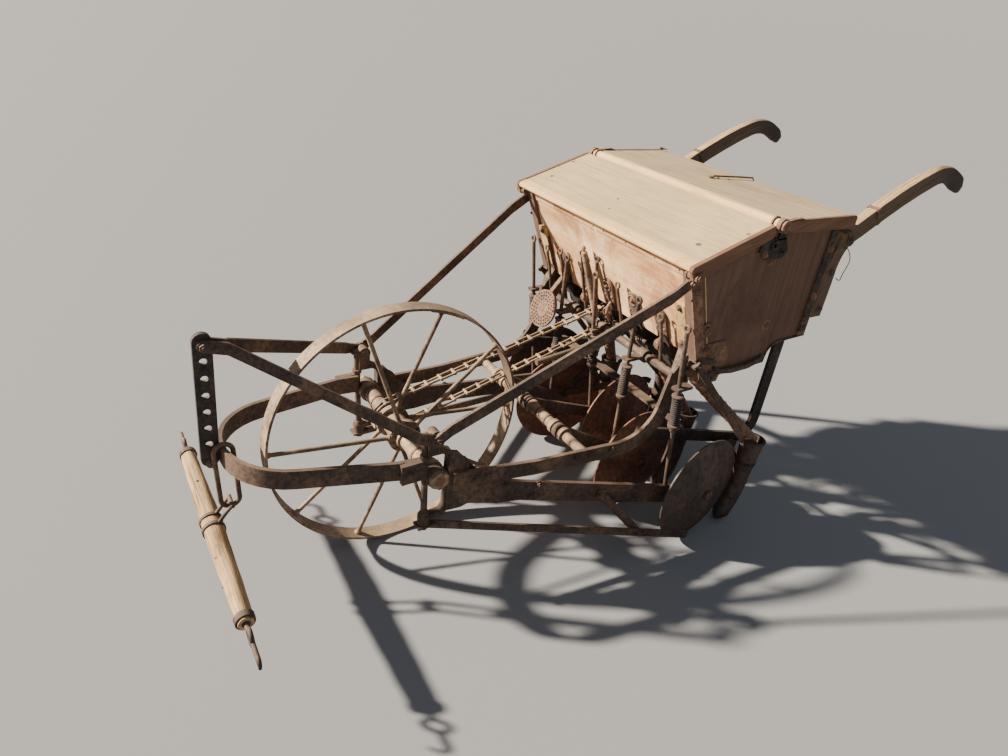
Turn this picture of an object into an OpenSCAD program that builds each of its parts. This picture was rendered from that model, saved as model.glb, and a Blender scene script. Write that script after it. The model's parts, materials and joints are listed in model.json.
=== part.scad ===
// Walk-behind seed drill with five discs, drawn by one animal.
// Origin: on the floor, under the middle of the front wheel's axle.
// The drill faces -Y, +X is its left-hand side, +Z is up.

/* [Wheel] */
// Radius of the front wheel
wheel_r = 328; // [300:1:360]
// Width of the wheel's flat rim
rim_w = 42; // [36:1:50]
// Thickness of the wheel's flat rim
rim_t = 6; // [4:0.5:8]
// Number of round spokes
spoke_count = 10; // [8:2:12]
// Radius of a spoke
spoke_r = 5.5; // [4:0.5:7]
// Radius of the wheel's hub barrel
hub_r = 30; // [26:1:36]
// Length of the wheel's hub
hub_l = 92; // [80:1:110]
// Radius of the fixed axle
axle_r = 14; // [11:0.5:16]

/* [Frame] */
// Distance from the middle to each axle yoke
yoke_x = 208; // [190:1:230]
// Height of the flat bars of the frame
bar_h = 46; // [38:1:52]
// Thickness of the flat bars of the frame
bar_t = 10; // [8:0.5:12]
// Turning radius of the front loop's nose
loop_r = 150; // [130:1:165]
// Angle by which the side bars spread towards the box
splay = 6; // [4:0.5:7]
// Distance from the axle to the nose of the front loop
loop_reach = 412; // [390:1:440]
// Height of the upright hitch bar's top
hitch_top = 668; // [640:1:690]
// Number of holes in the hitch bar
hitch_holes = 6; // [4:1:6]

/* [Discs] */
// Radius of a disc
disc_r = 152; // [140:1:160]
// Depth of a disc's dish
disc_dish = 26; // [18:1:34]
// Thickness of a disc's sheet
disc_t = 4; // [3:0.5:5]
// Angle that each disc is turned from straight ahead
disc_angle = 7; // [4:1:10]
// Distance between neighbouring discs across the drill
disc_pitch = 186; // [180:1:195]
// Height of the outermost drag bars
outer_w = 56; // [44:1:60]
// Height of the inner drag bars
drag_w = 32; // [26:1:38]
// Number of links in the drive chain
chain_links = 42; // [38:2:46]

/* [Seed box] */
// Width of the seed box over its end boards
box_w = 656; // [630:1:690]
// Thickness of the seed box's boards
board_t = 18; // [14:1:20]
// Thickness of the seed box's end boards
end_t = 22; // [18:1:26]
// Thickness of the two lids
lid_t = 14; // [10:1:18]
// Radius of the round rail between the lids
rail_r = 12.5; // [11:0.5:14]

/* [Handles] */
// Distance from the middle to each handle
handle_x = 318; // [300:1:325]
// Thickness of a handle across the drill
handle_t = 32; // [26:1:38]
// Height of a handle's wood
handle_h = 42; // [36:1:46]
// Distance from the axle to the middle of a handle's tip
handle_reach = 1562; // [1500:1:1620]

/* [Hidden] */
$fn = 48;

fit = 0.05;
seat = 0.3;
iron = [0.25, 0.17, 0.13];
wood_faded = [0.66, 0.50, 0.38];
wood_red = [0.52, 0.27, 0.20];
wood_grey = [0.50, 0.42, 0.34];

axle_z = wheel_r;
disc_z = disc_r;

// one row a disc: place across in disc pitches, distance behind the axle, turn direction
DISCS = [[2, 722, 1], [1, 645, 1], [0, 735, 1], [-1, 645, -1], [-2, 722, -1]];
function disc_x(i) = DISCS[i][0] * disc_pitch;
function disc_y(i) = DISCS[i][1];
function disc_turn(i) = DISCS[i][2];

// the seed box in side view: places behind the axle and heights
front_top = [548, 802];
front_low = [642, 547];
ridge = [786, 872];
rear_top = [1046, 862];
rear_low = [1036, 547];
box_half = box_w / 2;
box_low = rear_low[1];

// feed shaft and the shaft that lifts the drag bars
feed_y = 690;
feed_z = 500;
feed_r = 10;
lift_y = 636;
lift_z = 478;
lift_r = 11;

// a flat outline along a line of points, w wide, with mitred corners
function unit(v) = v / norm(v);
function left_of(v) = [-v[1], v[0]];
function seg_normal(p, i) = left_of(unit(p[i + 1] - p[i]));
function corner(p, i) =
  i == 0 ? seg_normal(p, 0) :
  i == len(p) - 1 ? seg_normal(p, i - 1) :
  let (a = seg_normal(p, i - 1), b = seg_normal(p, i)) (a + b) / (1 + a * b);
module strip(p, w) {
  n = len(p);
  polygon(concat(
    [for (i = [0 : n - 1]) p[i] + corner(p, i) * w / 2],
    [for (i = [n - 1 : -1 : 0]) p[i] - corner(p, i) * w / 2]));
}
module strip_round(p, w) {
  n = len(p);
  v = p[1] - p[0];
  u = p[n - 1] - p[n - 2];
  polygon(concat(
    [for (i = [0 : n - 1]) p[i] + corner(p, i) * w / 2],
    arc(p[n - 1], w / 2, atan2(u[1], u[0]) + 81, atan2(u[1], u[0]) - 81, 9),
    [for (i = [n - 1 : -1 : 0]) p[i] - corner(p, i) * w / 2],
    arc(p[0], w / 2, atan2(v[1], v[0]) - 99, atan2(v[1], v[0]) - 261, 9)));
}
function arc(c, r, from, to, steps) =
  [for (i = [0 : steps]) let (a = from + (to - from) * i / steps) c + r * [cos(a), sin(a)]];

// side-view outline (distance behind the axle, height) made t thick across the drill
module side_view(t) {
  rotate([90, 0, 90]) linear_extrude(t, center = true) children();
}

// a round rod from a to b
module rod(a, b, r, r2 = -1, spin = 0) {
  v = b - a;
  translate(a)
    rotate([0, acos(v[2] / norm(v)), atan2(v[1], v[0])])
      rotate(spin) cylinder(h = norm(v), r1 = r, r2 = r2 < 0 ? r : r2);
}
// a flat bar from a to b, w high and t thick
module flat(a, b, w, t, spare = 0) {
  v = b - a;
  reach = norm(v) + 2 * spare;
  translate(a)
    rotate([0, -atan2(v[2], norm([v[0], v[1]])), atan2(v[1], v[0])])
      translate([-spare, -t / 2, -w / 2]) cube([reach, t, w]);
}
module across(y, z) {
  translate([0, y, z]) rotate([0, 90, 0]) children();
}
module both_sides() {
  children();
  mirror([1, 0, 0]) children();
}

// Front wheel and its axle
sprocket_w = 20;
sprocket_x = -hub_l / 2 - sprocket_w / 2 - 4;
wheel_sprocket_r = 38;
feed_sprocket_r = 28;
chain_w = 22;
chain_t = 9;
chain_gap = 0.5;
side_play = 1;
module axle() color(iron) across(0, axle_z) {
  sleeve_end = yoke_x - yoke_t / 2;
  cylinder(h = 2 * yoke_x + 58, r = axle_r, center = true);
  left_start = hub_l / 2 + side_play;
  right_start = -sprocket_x + sprocket_w / 2 + side_play;
  for (row = [[1, left_start], [-1, right_start]]) {
    from = row[1];
    translate([0, 0, row[0] * (from + 6)]) cylinder(h = 12, r = axle_r + 13, center = true);
    translate([0, 0, row[0] * (from + sleeve_end) / 2]) cylinder(h = sleeve_end - from, r = axle_r + 7, center = true);
    translate([0, 0, row[0] * (sleeve_end - 7)]) cylinder(h = 14, r = axle_r + 13, center = true);
    translate([0, 0, row[0] * (yoke_x + yoke_t / 2 + 7)]) cylinder(h = 14, r = axle_r + 10, center = true, $fn = 6);
  }
}
module wheel() color(iron) {
  flange_at = hub_l / 2 - 10;
  difference() {
    union() {
      across(0, axle_z) {
        rotate_extrude($fn = 120) translate([wheel_r - rim_t, -rim_w / 2]) square([rim_t, rim_w]);
        cylinder(h = hub_l, r = hub_r, center = true);
        for (s = [-1, 1]) translate([0, 0, s * flange_at]) cylinder(h = 14, r = hub_r + 12, center = true);
        translate([0, 0, sprocket_x - sprocket_w / 2]) cylinder(h = sprocket_w + 8, r = hub_r - 4);
        translate([0, 0, sprocket_x]) cylinder(h = 8, r = wheel_sprocket_r, center = true);
      }
      for (k = [0 : spoke_count - 1]) {
        a = 33.5 + k * 360 / spoke_count;
        side = k % 2 == 0 ? 1 : -1;
        reach = wheel_r - rim_t + 1;
        rod([side * flange_at, hub_r * cos(a), axle_z + hub_r * sin(a)],
            [0, reach * cos(a), axle_z + reach * sin(a)], spoke_r);
      }
    }
    across(0, axle_z) cylinder(h = 3 * hub_l, r = axle_r + fit, center = true);
  }
}

// Yoke castings at the axle's ends; their rear web lies along the side bar
yoke_t = 26;
yoke_top = 440;
lug_t = 14;
module splayed(from = 0) translate([yoke_x, 0, 0]) rotate([0, 0, -splay]) translate([from, 0, 0]) children();
web_l = 166;
outer_start = 233;
outer_x = yoke_x + 4;
outer_y = 60;
outer_drop = 36;
spindle_back = 30;
outer_turn = atan2(drag_to(0)[0] - outer_x, drag_to(0)[1] - outer_y);
outer_run = norm([drag_to(0)[0] - outer_x, drag_to(0)[1] - outer_y]) - web_l - seat;
outer_pitch = atan2(outer_start - drag_to(0)[2], outer_run);
web_end = outer_w / 2 * [sin(outer_pitch), cos(outer_pitch)];
module outer_line() translate([outer_x, outer_y, 0]) rotate([0, 0, -outer_turn]) children();
module yoke() difference() {
  union() {
    translate([yoke_x, 0, 0]) {
      side_view(yoke_t - 6)
        strip([[-26, 398], [14, 397], [30, 388], [34, 370], [28, 236], [18, 218], [-26, 214]], 13);
      side_view(yoke_t) {
        translate([0, axle_z]) circle(r = axle_r + 12);
        translate([-26, axle_z - 8]) square([56, 16]);
      }
      translate([0, -26, 196]) cylinder(h = yoke_top - 196, r = 8);
      translate([0, -26, 196]) cylinder(h = 26, r = 15);
      translate([0, -8, 0]) across(0, yoke_top) cylinder(h = yoke_t, r = 16, center = true);
      side_view(yoke_t) translate([-24, yoke_top - 44]) square([30, 44]);
      side_view(lug_t) translate([-84, 330]) square([64, 50]);
    }
    splayed() side_view(yoke_t)
      polygon([[30, 384], [56, 377], [78, 350], [78, 232], [62, 226], [24, 226]]);
    outer_line() side_view(drag_t)
      polygon([[-14, 372], [14, 360], [44, 318], [90, 282], [web_l, outer_start] + web_end,
               [web_l, outer_start] - web_end, [90, 212], [30, 224], [-14, 228]]);
  }
  across(0, axle_z) cylinder(h = 4 * yoke_x, r = axle_r + seat, center = true);
}
module yoke_left() color(iron) yoke();
module yoke_right() color(iron) mirror([1, 0, 0]) yoke();

// Front loop and hitch; the hitch bar stands square on the loop, which rises to the front
loop_z = 353;
loop_rise = 3.8;
loop_in = 12;
loop_c = loop_reach - loop_r;
loop_side = yoke_x - lug_t / 2 - bar_t / 2;
module on_loop() translate([0, 0, loop_z]) rotate([-loop_rise, 0, 0]) children();
module front_loop() color(iron) on_loop() linear_extrude(bar_h, center = true)
  strip(concat([[loop_side, -30], [loop_side, -84]],
    arc([0, -loop_c], loop_r, -loop_in, -180 + loop_in, 16),
    [[-loop_side, -84], [-loop_side, -30]]), bar_t);
hitch_w = 38;
hitch_t = 12;
hitch_y = -loop_reach - bar_t / 2 - hitch_w / 2;
hitch_low = -8;
hole_r = 8;
hitch_high = hitch_top - loop_z - hitch_w / 2 - 26;
hitch_bolt_y = hitch_y + (hitch_high + 26) * tan(loop_rise);
hitch_bolt_z = hitch_top - 24;
strap_w = 27;
strap_t = 6;
brace_w = 26;
brace_t = 7;
iron_t = 4;
brace_end = [545, 767];
module hitch_bar() color(iron) on_loop() {
  side_view(hitch_t) difference() {
    union() {
      translate([hitch_y - hitch_w / 2, hitch_low]) square([hitch_w, hitch_high - hitch_low]);
      for (z = [hitch_low, hitch_high]) translate([hitch_y, z]) circle(r = hitch_w / 2);
    }
    for (k = [0 : hitch_holes - 1]) translate([hitch_y, 29.5 + k * 39.5]) circle(r = hole_r);
  }
}
// a flat bar bent in plan and in side view: both lines run through the same distances behind the axle
module bent_bar(points, w, t) intersection() {
  n = len(points);
  plan = [for (p = points) [p[0], p[1]]];
  linear_extrude(box_w * 2) strip(concat([plan[0] - unit(plan[1] - plan[0]) * w],
    [for (i = [1 : n - 2]) plan[i]], [plan[n - 1] + unit(plan[n - 1] - plan[n - 2]) * w]), t);
  side_view(box_w * 2) strip_round([for (p = points) [p[1], p[2]]], w);
}
module hitch_strap() {
  x1 = hitch_t / 2 + strap_t / 2;
  x2 = yoke_x + yoke_t / 2 + strap_t / 2;
  bent_bar([[x1, hitch_bolt_y, hitch_bolt_z], [x1, hitch_bolt_y + 46, hitch_bolt_z - 14],
            [x2, -44, yoke_top + 10], [x2, -8, yoke_top]], strap_w, strap_t);
}
module hitch_strap_left() color(iron) hitch_strap();
module hitch_strap_right() color(iron) mirror([1, 0, 0]) hitch_strap();

// Side bars that run back from the yokes and turn up to the box's front
side_h = 40;
bend_c = [480, 430];
bend_r = 130;
plate_w = 36;
plate_x = box_half - end_t - plate_w / 2 - seat;
module side_bar() difference() {
  union() {
    splayed(yoke_t / 2 + bar_t / 2) side_view(bar_t) {
      strip(concat([[36, 318], [250, 301]], arc(bend_c, bend_r, -90, -12, 9), [[626, 500]]), side_h);
      translate([lift_y / cos(splay) + 2, lift_z]) circle(r = lift_r + 8);
    }
    hull() {
      splayed(yoke_t / 2 + bar_t / 2) side_view(bar_t - 1) polygon([[606, 486], [641, 480], [642, 488], [607, 494]]);
      translate([plate_x, 0, 0]) side_view(plate_w - 1) board_band(front_low, front_top, 1, 7, 8, 16);
    }
    translate([plate_x, 0, 0]) side_view(plate_w) board_band(front_low, front_top, 0, 8, 4, 128);
  }
  across(lift_y, lift_z) cylinder(h = 4 * yoke_x, r = lift_r + seat, center = true);
}
// a band along the line from a to b, standing out from it by near to far, from start to end
module board_band(a, b, near, far, start, end) {
  u = unit(b - a);
  n = left_of(u);
  polygon([a + u * start + n * near, a + u * end + n * near, a + u * end + n * far, a + u * start + n * far]);
}
module side_bar_left() color(iron) side_bar();
module side_bar_right() color(iron) mirror([1, 0, 0]) side_bar();

stay_w = 32;
stay_off = yoke_t / 2 - bar_t / 2 - 0.1;
module rear_stay() splayed(stay_off) side_view(bar_t)
  strip(concat([[545, 331]], arc([908, 287], 50, -105, -2, 6), [[964, box_low - seat]]), stay_w);
module rear_stay_left() color(iron) rear_stay();
module rear_stay_right() color(iron) mirror([1, 0, 0]) rear_stay();

function brace_z(y) = yoke_top + (y + 8) * (brace_end[1] - yoke_top) / (brace_end[0] + 8);
module long_brace() {
  x1 = yoke_x + yoke_t / 2 + strap_t + brace_t / 2;
  x2 = box_half + iron_t + brace_t / 2;
  bent_bar([[x1, -8, yoke_top], [x1, 26, brace_z(26)], [x2, 500, brace_z(500)], [x2, brace_end[0], brace_end[1]]],
    brace_w, brace_t);
}
module long_brace_left() color(iron) long_brace();
module long_brace_right() color(iron) mirror([1, 0, 0]) long_brace();

// Low straps that run back from the yokes' feet, with a prop to each outermost drag bar,
// and straps from the box down to the outermost boots
low_strap_w = 22;
low_strap_t = 6;
foot_z = 196;
low_end = [413, 667, 46];
prop_from = 388;
prop_to = 0.79;
boot_strap_w = 17;
module flat_straps() color(iron) both_sides() {
  start = [yoke_x + 2, -12, foot_z - 7];
  run = low_end - start;
  joint = start + run * prop_to - [low_strap_t, 0, 0];
  high = outer_at(prop_from) + [cos(outer_turn), -sin(outer_turn), 0] * (drag_t / 2 + seat + low_strap_t / 2) - [0, 0, 52];
  ahead = [sin(outer_turn), cos(outer_turn), 0];
  translate([yoke_x - 14, -46, foot_z - 6 - seat]) cube([30, 46, 6]);
  translate([yoke_x, -26, foot_z - 6 - seat - 9]) cylinder(h = 10, r = 11, $fn = 6);
  flat(start, low_end, low_strap_w, low_strap_t);
  flat(high - ahead * 13, high + ahead * 13, 26, low_strap_t);
  flat(high + unit(joint - high) * 11, joint, 22, low_strap_t);
  difference() {
    flat(boot_strap_top, boot_high(0) - back_of(0) * (mouth_r + 2) - [9, 0, 3], boot_strap_w, low_strap_t);
    rod(boot_knee(0), boot_high(0) + unit(boot_high(0) - boot_knee(0)) * 12, boot_r + 1.5, mouth_r + 1.4);
  }
}
boot_strap_top = [box_half + iron_t + 8, 628, 545];

// Cross rods, drag bars and lifting gear
drag_y = 392;
drag_z = 300;
drag_r = 9;
function side_x(y) = yoke_x + y * tan(splay) + yoke_t / 2 / cos(splay);
eye_w = 16;
eye_x = 147;
module drag_rod() color(iron) across(drag_y, drag_z) {
  cylinder(h = 2 * side_x(drag_y) - 3, r = drag_r, center = true);
  for (s = [-1, 1]) {
    translate([0, 0, s * 74]) cylinder(h = 108, r = 15, center = true);
    for (x = [22, 126, 168]) translate([0, 0, s * x]) cylinder(h = 12, r = 20, center = true);
    translate([0, 0, s * 214]) cylinder(h = 80, r = 13, center = true);
  }
}
cross_y = 668;
cross_z = 324;
module cross_bar() color(iron) {
  half = side_x(cross_y) - bar_t - 2 * seat;
  translate([-half, cross_y, cross_z]) cube([2 * half, 26, 8]);
  for (s = [-1, 1]) translate([s * (half - 4) - 4, cross_y, 288]) cube([8, 26, cross_z - 284]);
}

// where a drag bar starts, and where it carries its disc's spindle
function disc_axis(i) = [disc_turn(i) * cos(disc_angle), sin(disc_angle), 0];
function disc_place(i) = [disc_x(i), disc_y(i), disc_z];
function is_outer(i) = abs(DISCS[i][0]) == 2;
function bar_w(i) = is_outer(i) ? outer_w : drag_w;
function outer_at(s) = [outer_x + s * sin(outer_turn), outer_y + s * cos(outer_turn), outer_start];
function drag_from(i) = is_outer(i) ?
  let (a = outer_at(web_l + seat)) [sign(DISCS[i][0]) * a[0], a[1], a[2]] :
  [sign(DISCS[i][0]) * eye_x, drag_y, drag_z];
function spindle_end(i) = disc_place(i) - disc_axis(i) * spindle_back;
function drag_to(i) = spindle_end(i) - [0, 0, is_outer(i) ? outer_drop : 0];
function drag_at(i, y) = let (a = drag_from(i), b = drag_to(i)) a + (b - a) * (y - a[1]) / (b[1] - a[1]);
drag_t = 10;
spindle_r = 10;
module drag_bar(i) {
  outer = is_outer(i);
  difference() {
    union() {
      flat(drag_from(i), drag_to(i), bar_w(i), drag_t);
      if (!outer) translate([drag_from(i)[0], 0, 0]) across(drag_y, drag_z)
        cylinder(h = eye_w, r = drag_w / 2 + 4, center = true);
    }
    if (!outer) across(drag_y, drag_z) cylinder(h = 4 * yoke_x, r = drag_r + seat, center = true);
  }
  rod(disc_place(i) - disc_axis(i) * (spindle_back + 11), disc_place(i) - disc_axis(i) * (spindle_back - 13), outer ? outer_boss_r : boss_r);
  rod(disc_place(i) - disc_axis(i) * spindle_back, disc_place(i) + disc_axis(i) * 6, spindle_r);
}
module drag_bars() color(iron) for (i = [0 : 4]) drag_bar(i);

// A dished disc with its hub on the hollow side
function dish_curve(lift) = let (big = (disc_r * disc_r + disc_dish * disc_dish) / (2 * disc_dish))
  [for (k = [0 : 8]) let (r = disc_r * k / 8) [r, sqrt(big * big - r * r) - big + disc_dish + lift]];
hub_back = 14;
module disc(i) color(iron)
  translate(disc_place(i)) rotate([0, 0, disc_turn(i) * disc_angle]) rotate([0, disc_turn(i) * 90, 0])
    difference() {
      union() {
        rotate_extrude($fn = 96) {
          top = dish_curve(0);
          low = dish_curve(-disc_t);
          polygon(concat(top, [for (k = [8 : -1 : 0]) low[k]]));
        }
        translate([0, 0, -hub_back]) cylinder(h = hub_back + disc_dish - disc_t / 2, r = 24);
        cylinder(h = disc_dish + 8, r = 14);
      }
      translate([0, 0, -hub_back - 1]) cylinder(h = hub_back + 9, r = spindle_r + fit);
    }
module disc_1() disc(0);
module disc_2() disc(1);
module disc_3() disc(2);
module disc_4() disc(3);
module disc_5() disc(4);

// Boots that drop the seed behind each disc: a curved tube round the disc's rim with a flared mouth
boot_out = 12;
boot_r = 24;
boot_wall = 3.5;
boot_ring = disc_r + 6 + boot_r;
mouth_r = 33;
mouth_z = 258;
boot_bend = 44;
function back_of(i) = [-disc_axis(i)[1] * disc_turn(i), disc_axis(i)[0] * disc_turn(i), 0];
function boot_knee(i) = disc_place(i) + disc_axis(i) * boot_out + back_of(i) * boot_ring;
function boot_high(i) = boot_knee(i) + back_of(i) * 10 + [0, 0, mouth_z - disc_z];
boss_r = 18;
outer_boss_r = 27;
function arm_rise(i) = let (a = drag_from(i), b = drag_to(i), slope = (a[2] - b[2]) / norm([b[0] - a[0], b[1] - a[1]]))
  11 + 2 * seat + (is_outer(i) ? outer_boss_r : max(boss_r, bar_w(i) / 2 * sqrt(1 + slope * slope)));
arm_end = spindle_back + boot_out - boot_r - 1;
module boot(i) {
  n = disc_axis(i);
  u = back_of(i);
  back = spindle_end(i) + [0, 0, arm_rise(i)];
  low = boot_knee(i) - [0, 0, 5];
  high = boot_high(i);
  way = unit(high - low);
  translate(disc_place(i)) rotate([0, 0, disc_turn(i) * disc_angle]) rotate([0, 90, 0])
    rotate([0, 0, 90 - boot_bend]) rotate_extrude(angle = boot_bend)
      translate([boot_ring, disc_turn(i) * boot_out]) difference() {
        circle(r = boot_r, $fn = 24);
        circle(r = boot_r - boot_wall, $fn = 24);
      }
  difference() {
    rod(low, high, boot_r + 0.5, mouth_r);
    rod(low - way, high + way, boot_r - boot_wall - 1.3, mouth_r - boot_wall);
  }
  flat(back, back + u * (boot_ring + 4), 22, 8);
  flat(back + u * boot_ring - n * 3, back + u * boot_ring + n * arm_end, 22, 8);
}
module boots() color(iron) for (i = [0 : 4]) boot(i);

cup_pitch = 105;
function cup_x(i) = DISCS[i][0] * cup_pitch;
cup_out = [714, 478];
function spout_from(i) = [cup_x(i), cup_out[0], cup_out[1]];
function spout_way(i) = unit(boot_high(i) - spout_from(i));
spout_l = 34;
tube_rings = 6;
module seed_tube(i) {
  v = spout_way(i);
  a = spout_from(i) + v * (spout_l + seat);
  step = (norm(boot_high(i) - a) + 6) / tube_rings;
  difference() {
    for (k = [0 : tube_rings - 1])
      rod(a + v * step * max(0, k - 0.04), a + v * step * (k + 1), 21 - k * 0.6, 17 - k * 0.6);
    rod(a - v, boot_high(i) + v * 8, 12);
  }
}
module seed_tubes() color(iron) for (i = [0 : 4]) seed_tube(i);

// Pressure rods with their springs, between the lifting arms and the drag bars
rod_r = 6;
rod_top = [582, 634];
spring_r = 13;
spring_wire = 5;
spring_turns = 13;
eye_r = 12;
function rod_foot(i) = drag_at(i, min(disc_y(i) - 60, 640));
function rod_head(i) = [rod_foot(i)[0], rod_top[0], rod_top[1]];
function foot_rise(i) = let (a = drag_from(i), b = drag_to(i), slope = abs(b[2] - a[2]) / (b[1] - a[1]))
  bar_w(i) / 2 * sqrt(1 + slope * slope) + rod_r * slope + 2 * seat;
function rod_at(i, z) = let (a = rod_foot(i), b = rod_head(i)) a + (b - a) * (z - a[2]) / (b[2] - a[2]);
module pressure_rod(i) {
  spring_low = rod_at(i, 372);
  rod(rod_at(i, rod_foot(i)[2] + foot_rise(i)), rod_head(i), rod_r);
  translate(rod_head(i) + [0, 4, eye_r - 3]) rotate([90, 0, 0]) difference() {
    cylinder(h = 8, r = eye_r);
    translate([0, 0, -1]) cylinder(h = 10, r = 6);
  }
  rod(rod_at(i, 362), spring_low, spring_r + 3);
  translate(spring_low) rotate([atan2(rod_foot(i)[1] - rod_top[0], rod_top[1] - rod_foot(i)[2]), 0, 0])
    for (k = [0 : spring_turns - 1]) translate([0, 0, k * (spring_wire + 1)])
      cylinder(h = spring_wire, r = spring_r);
  rod(spring_low, rod_at(i, 372 + spring_turns * (spring_wire + 1)), spring_r - 3);
}
module pressure_rods() color(iron) for (i = [0 : 4]) pressure_rod(i);

arm_t = 8;
module lift_shaft() color(iron) difference() {
  union() {
    across(lift_y, lift_z) cylinder(h = 2 * side_x(lift_y) + 2 * bar_t + 24, r = lift_r, center = true);
    for (i = [0 : 4]) translate([rod_foot(i)[0], 0, 0]) {
      if (abs(rod_foot(i)[0]) < side_x(lift_y) - 20) across(lift_y, lift_z) cylinder(h = 26, r = lift_r + 7, center = true);
      translate([-12, rod_at(i, lift_z)[1] - 14, lift_z - arm_t / 2])
        cube([24, lift_y - rod_at(i, lift_z)[1] + 14, arm_t]);
    }
    rod([40, lift_y, lift_z], [40, 372, 452], 8);
  }
  for (i = [0 : 4]) rod(rod_foot(i), rod_head(i), rod_r + seat);
}

// Feed cups under the box, with their round-topped backing plates
cup_w = 46;
module feed_cups() color(iron) difference() {
  for (i = [0 : 4]) {
    rod(spout_from(i), spout_from(i) + spout_way(i) * spout_l, 22);
    translate([cup_x(i), 0, 0]) {
    side_view(cup_w) polygon([[664, 500], [668, 540], [690, box_low + 5], [742, box_low + 5], [742, 510], [724, 466], [680, 466]]);
    side_view(cup_w - 8) board_band(front_low, front_top, seat, 6, 2, 70);
    side_view(cup_w - 8) polygon([[636, 552], [656, 500], [664, 500], [668, 540], [664, box_low + 1], [642, 547]]);
   }
  }
  across(feed_y, feed_z) cylinder(h = 4 * box_w, r = feed_r + fit, center = true);
  for (i = [0 : 4]) rod(spout_from(i) + spout_way(i) * 12, spout_from(i) + spout_way(i) * (spout_l + 9), 15);
}

feed_half = box_half + 9;
module feed_shaft() color(iron) across(feed_y, feed_z) {
  cylinder(h = 2 * feed_half, r = feed_r, center = true);
  translate([0, 0, sprocket_x]) cylinder(h = 8, r = feed_sprocket_r, center = true);
  translate([0, 0, sprocket_x]) cylinder(h = sprocket_w, r = 18, center = true);
}

chain_far = [feed_y, feed_z];
chain_near = [0, axle_z];
pin_near = wheel_sprocket_r + chain_gap + chain_t / 2;
pin_far = feed_sprocket_r + chain_gap + chain_t / 2;
chain_way = chain_far - chain_near;
chain_turn = atan2(chain_way[1], chain_way[0]);
chain_lean = acos((pin_near - pin_far) / norm(chain_way));
chain_run = norm(chain_way) * sin(chain_lean);
wrap_near = pin_near * (360 - 2 * chain_lean) * PI / 180;
wrap_far = pin_far * 2 * chain_lean * PI / 180;
chain_l = 2 * chain_run + wrap_near + wrap_far;
function on_circle(c, r, a) = c + r * [cos(a), sin(a)];
// a place on the chain's line, s along it from where it leaves the wheel's sprocket above
function chain_place(s) =
  s < chain_run ? on_circle(chain_near, pin_near, chain_turn + chain_lean) * (1 - s / chain_run)
    + on_circle(chain_far, pin_far, chain_turn + chain_lean) * s / chain_run :
  s < chain_run + wrap_far ? on_circle(chain_far, pin_far, chain_turn + chain_lean - (s - chain_run) / pin_far * 180 / PI) :
  s < 2 * chain_run + wrap_far ? let (k = (s - chain_run - wrap_far) / chain_run)
    on_circle(chain_far, pin_far, chain_turn - chain_lean) * (1 - k) + on_circle(chain_near, pin_near, chain_turn - chain_lean) * k :
  on_circle(chain_near, pin_near, chain_turn - chain_lean - (s - 2 * chain_run - wrap_far) / pin_near * 180 / PI);
function chain_pin(k) = chain_place((k % chain_links) * chain_l / chain_links);
// open links: a barrel across, and two side bars that lie inside or outside the next link's
module drive_chain() color(iron) translate([sprocket_x, 0, 0])
  for (k = [0 : chain_links - 1]) {
    a = chain_pin(k);
    b = chain_pin(k + 1);
    out = k % 2 == 0 ? chain_w / 2 - 1.7 : chain_w / 2 - 4.6;
    across(a[0], a[1]) cylinder(h = chain_w + 2, r = chain_t / 2, center = true, $fn = 14);
    for (side = [-1, 1]) flat([side * out, a[0], a[1]], [side * out, b[0], b[1]], 6, 3.2);
  }

plate_at = [-200, 552, 474];
module rate_plate() color(iron) {
  translate(plate_at) rotate([70, 0, 0]) difference() {
    union() {
      cylinder(h = 7, r = 56, center = true);
      translate([0, 0, -8]) cylinder(h = 12, r = 10, center = true);
    }
    for (row = [[48, 28], [38, 22], [28, 16]], k = [0 : row[1] - 1])
      rotate(k * 360 / row[1]) translate([row[0], 0, 0]) cylinder(h = 10, r = 2.6, center = true, $fn = 16);
  }
  translate([plate_at[0], 0, 0]) side_view(14) {
    polygon([[564, 502], [568, 522], [620, 581], [627, 563], [584, 500]]);
    board_band(front_low, front_top, 6 + seat, 14, 4, 50);
  }
}

// Seed box of boards, open on top, with a divider between its two bins
proud = 10;
skirt = 52;
module end_board() translate([box_half - end_t / 2, 0, 0]) side_view(end_t)
  polygon([front_top - [proud - 2, 6], ridge - [0, 7], rear_top - [0, 1], rear_low, [930, box_low],
           [906, box_low - 9], [894, box_low - 24], [890, box_low - skirt], [722, box_low - skirt],
           [700, box_low - 18], front_low - [proud, 0]]);
module box_end_left() color(wood_red) end_board();
module box_end_right() color(wood_red) mirror([1, 0, 0]) end_board();
inside_w = box_w - 2 * end_t;
bottom_z = box_low + 7;
function front_in(z) = let (u = unit(front_low - front_top), n = left_of(u) * (board_t + seat), a = front_top + n)
  [a[0] + u[0] / u[1] * (z - a[1]), z];
function rear_in(z) = let (u = unit(rear_top - rear_low), n = left_of(u) * (board_t + seat), a = rear_low + n)
  [a[0] + u[0] / u[1] * (z - a[1]), z];
module box_front() color(wood_red) side_view(inside_w) board_band(front_top, front_low, 0, board_t, 9, norm(front_low - front_top));
module box_rear() color(wood_red) side_view(inside_w) board_band(rear_low, rear_top, 0, board_t, 0, norm(rear_top - rear_low) - 4);
module box_bottom() color(wood_red) side_view(inside_w)
  polygon([front_in(bottom_z), rear_in(bottom_z), rear_in(bottom_z + board_t), front_in(bottom_z + board_t)]);
module box_divider() color(wood_red) side_view(inside_w)
  translate([ridge[0] - 7, bottom_z + board_t]) square([14, ridge[1] - 9 - bottom_z - board_t]);

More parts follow.
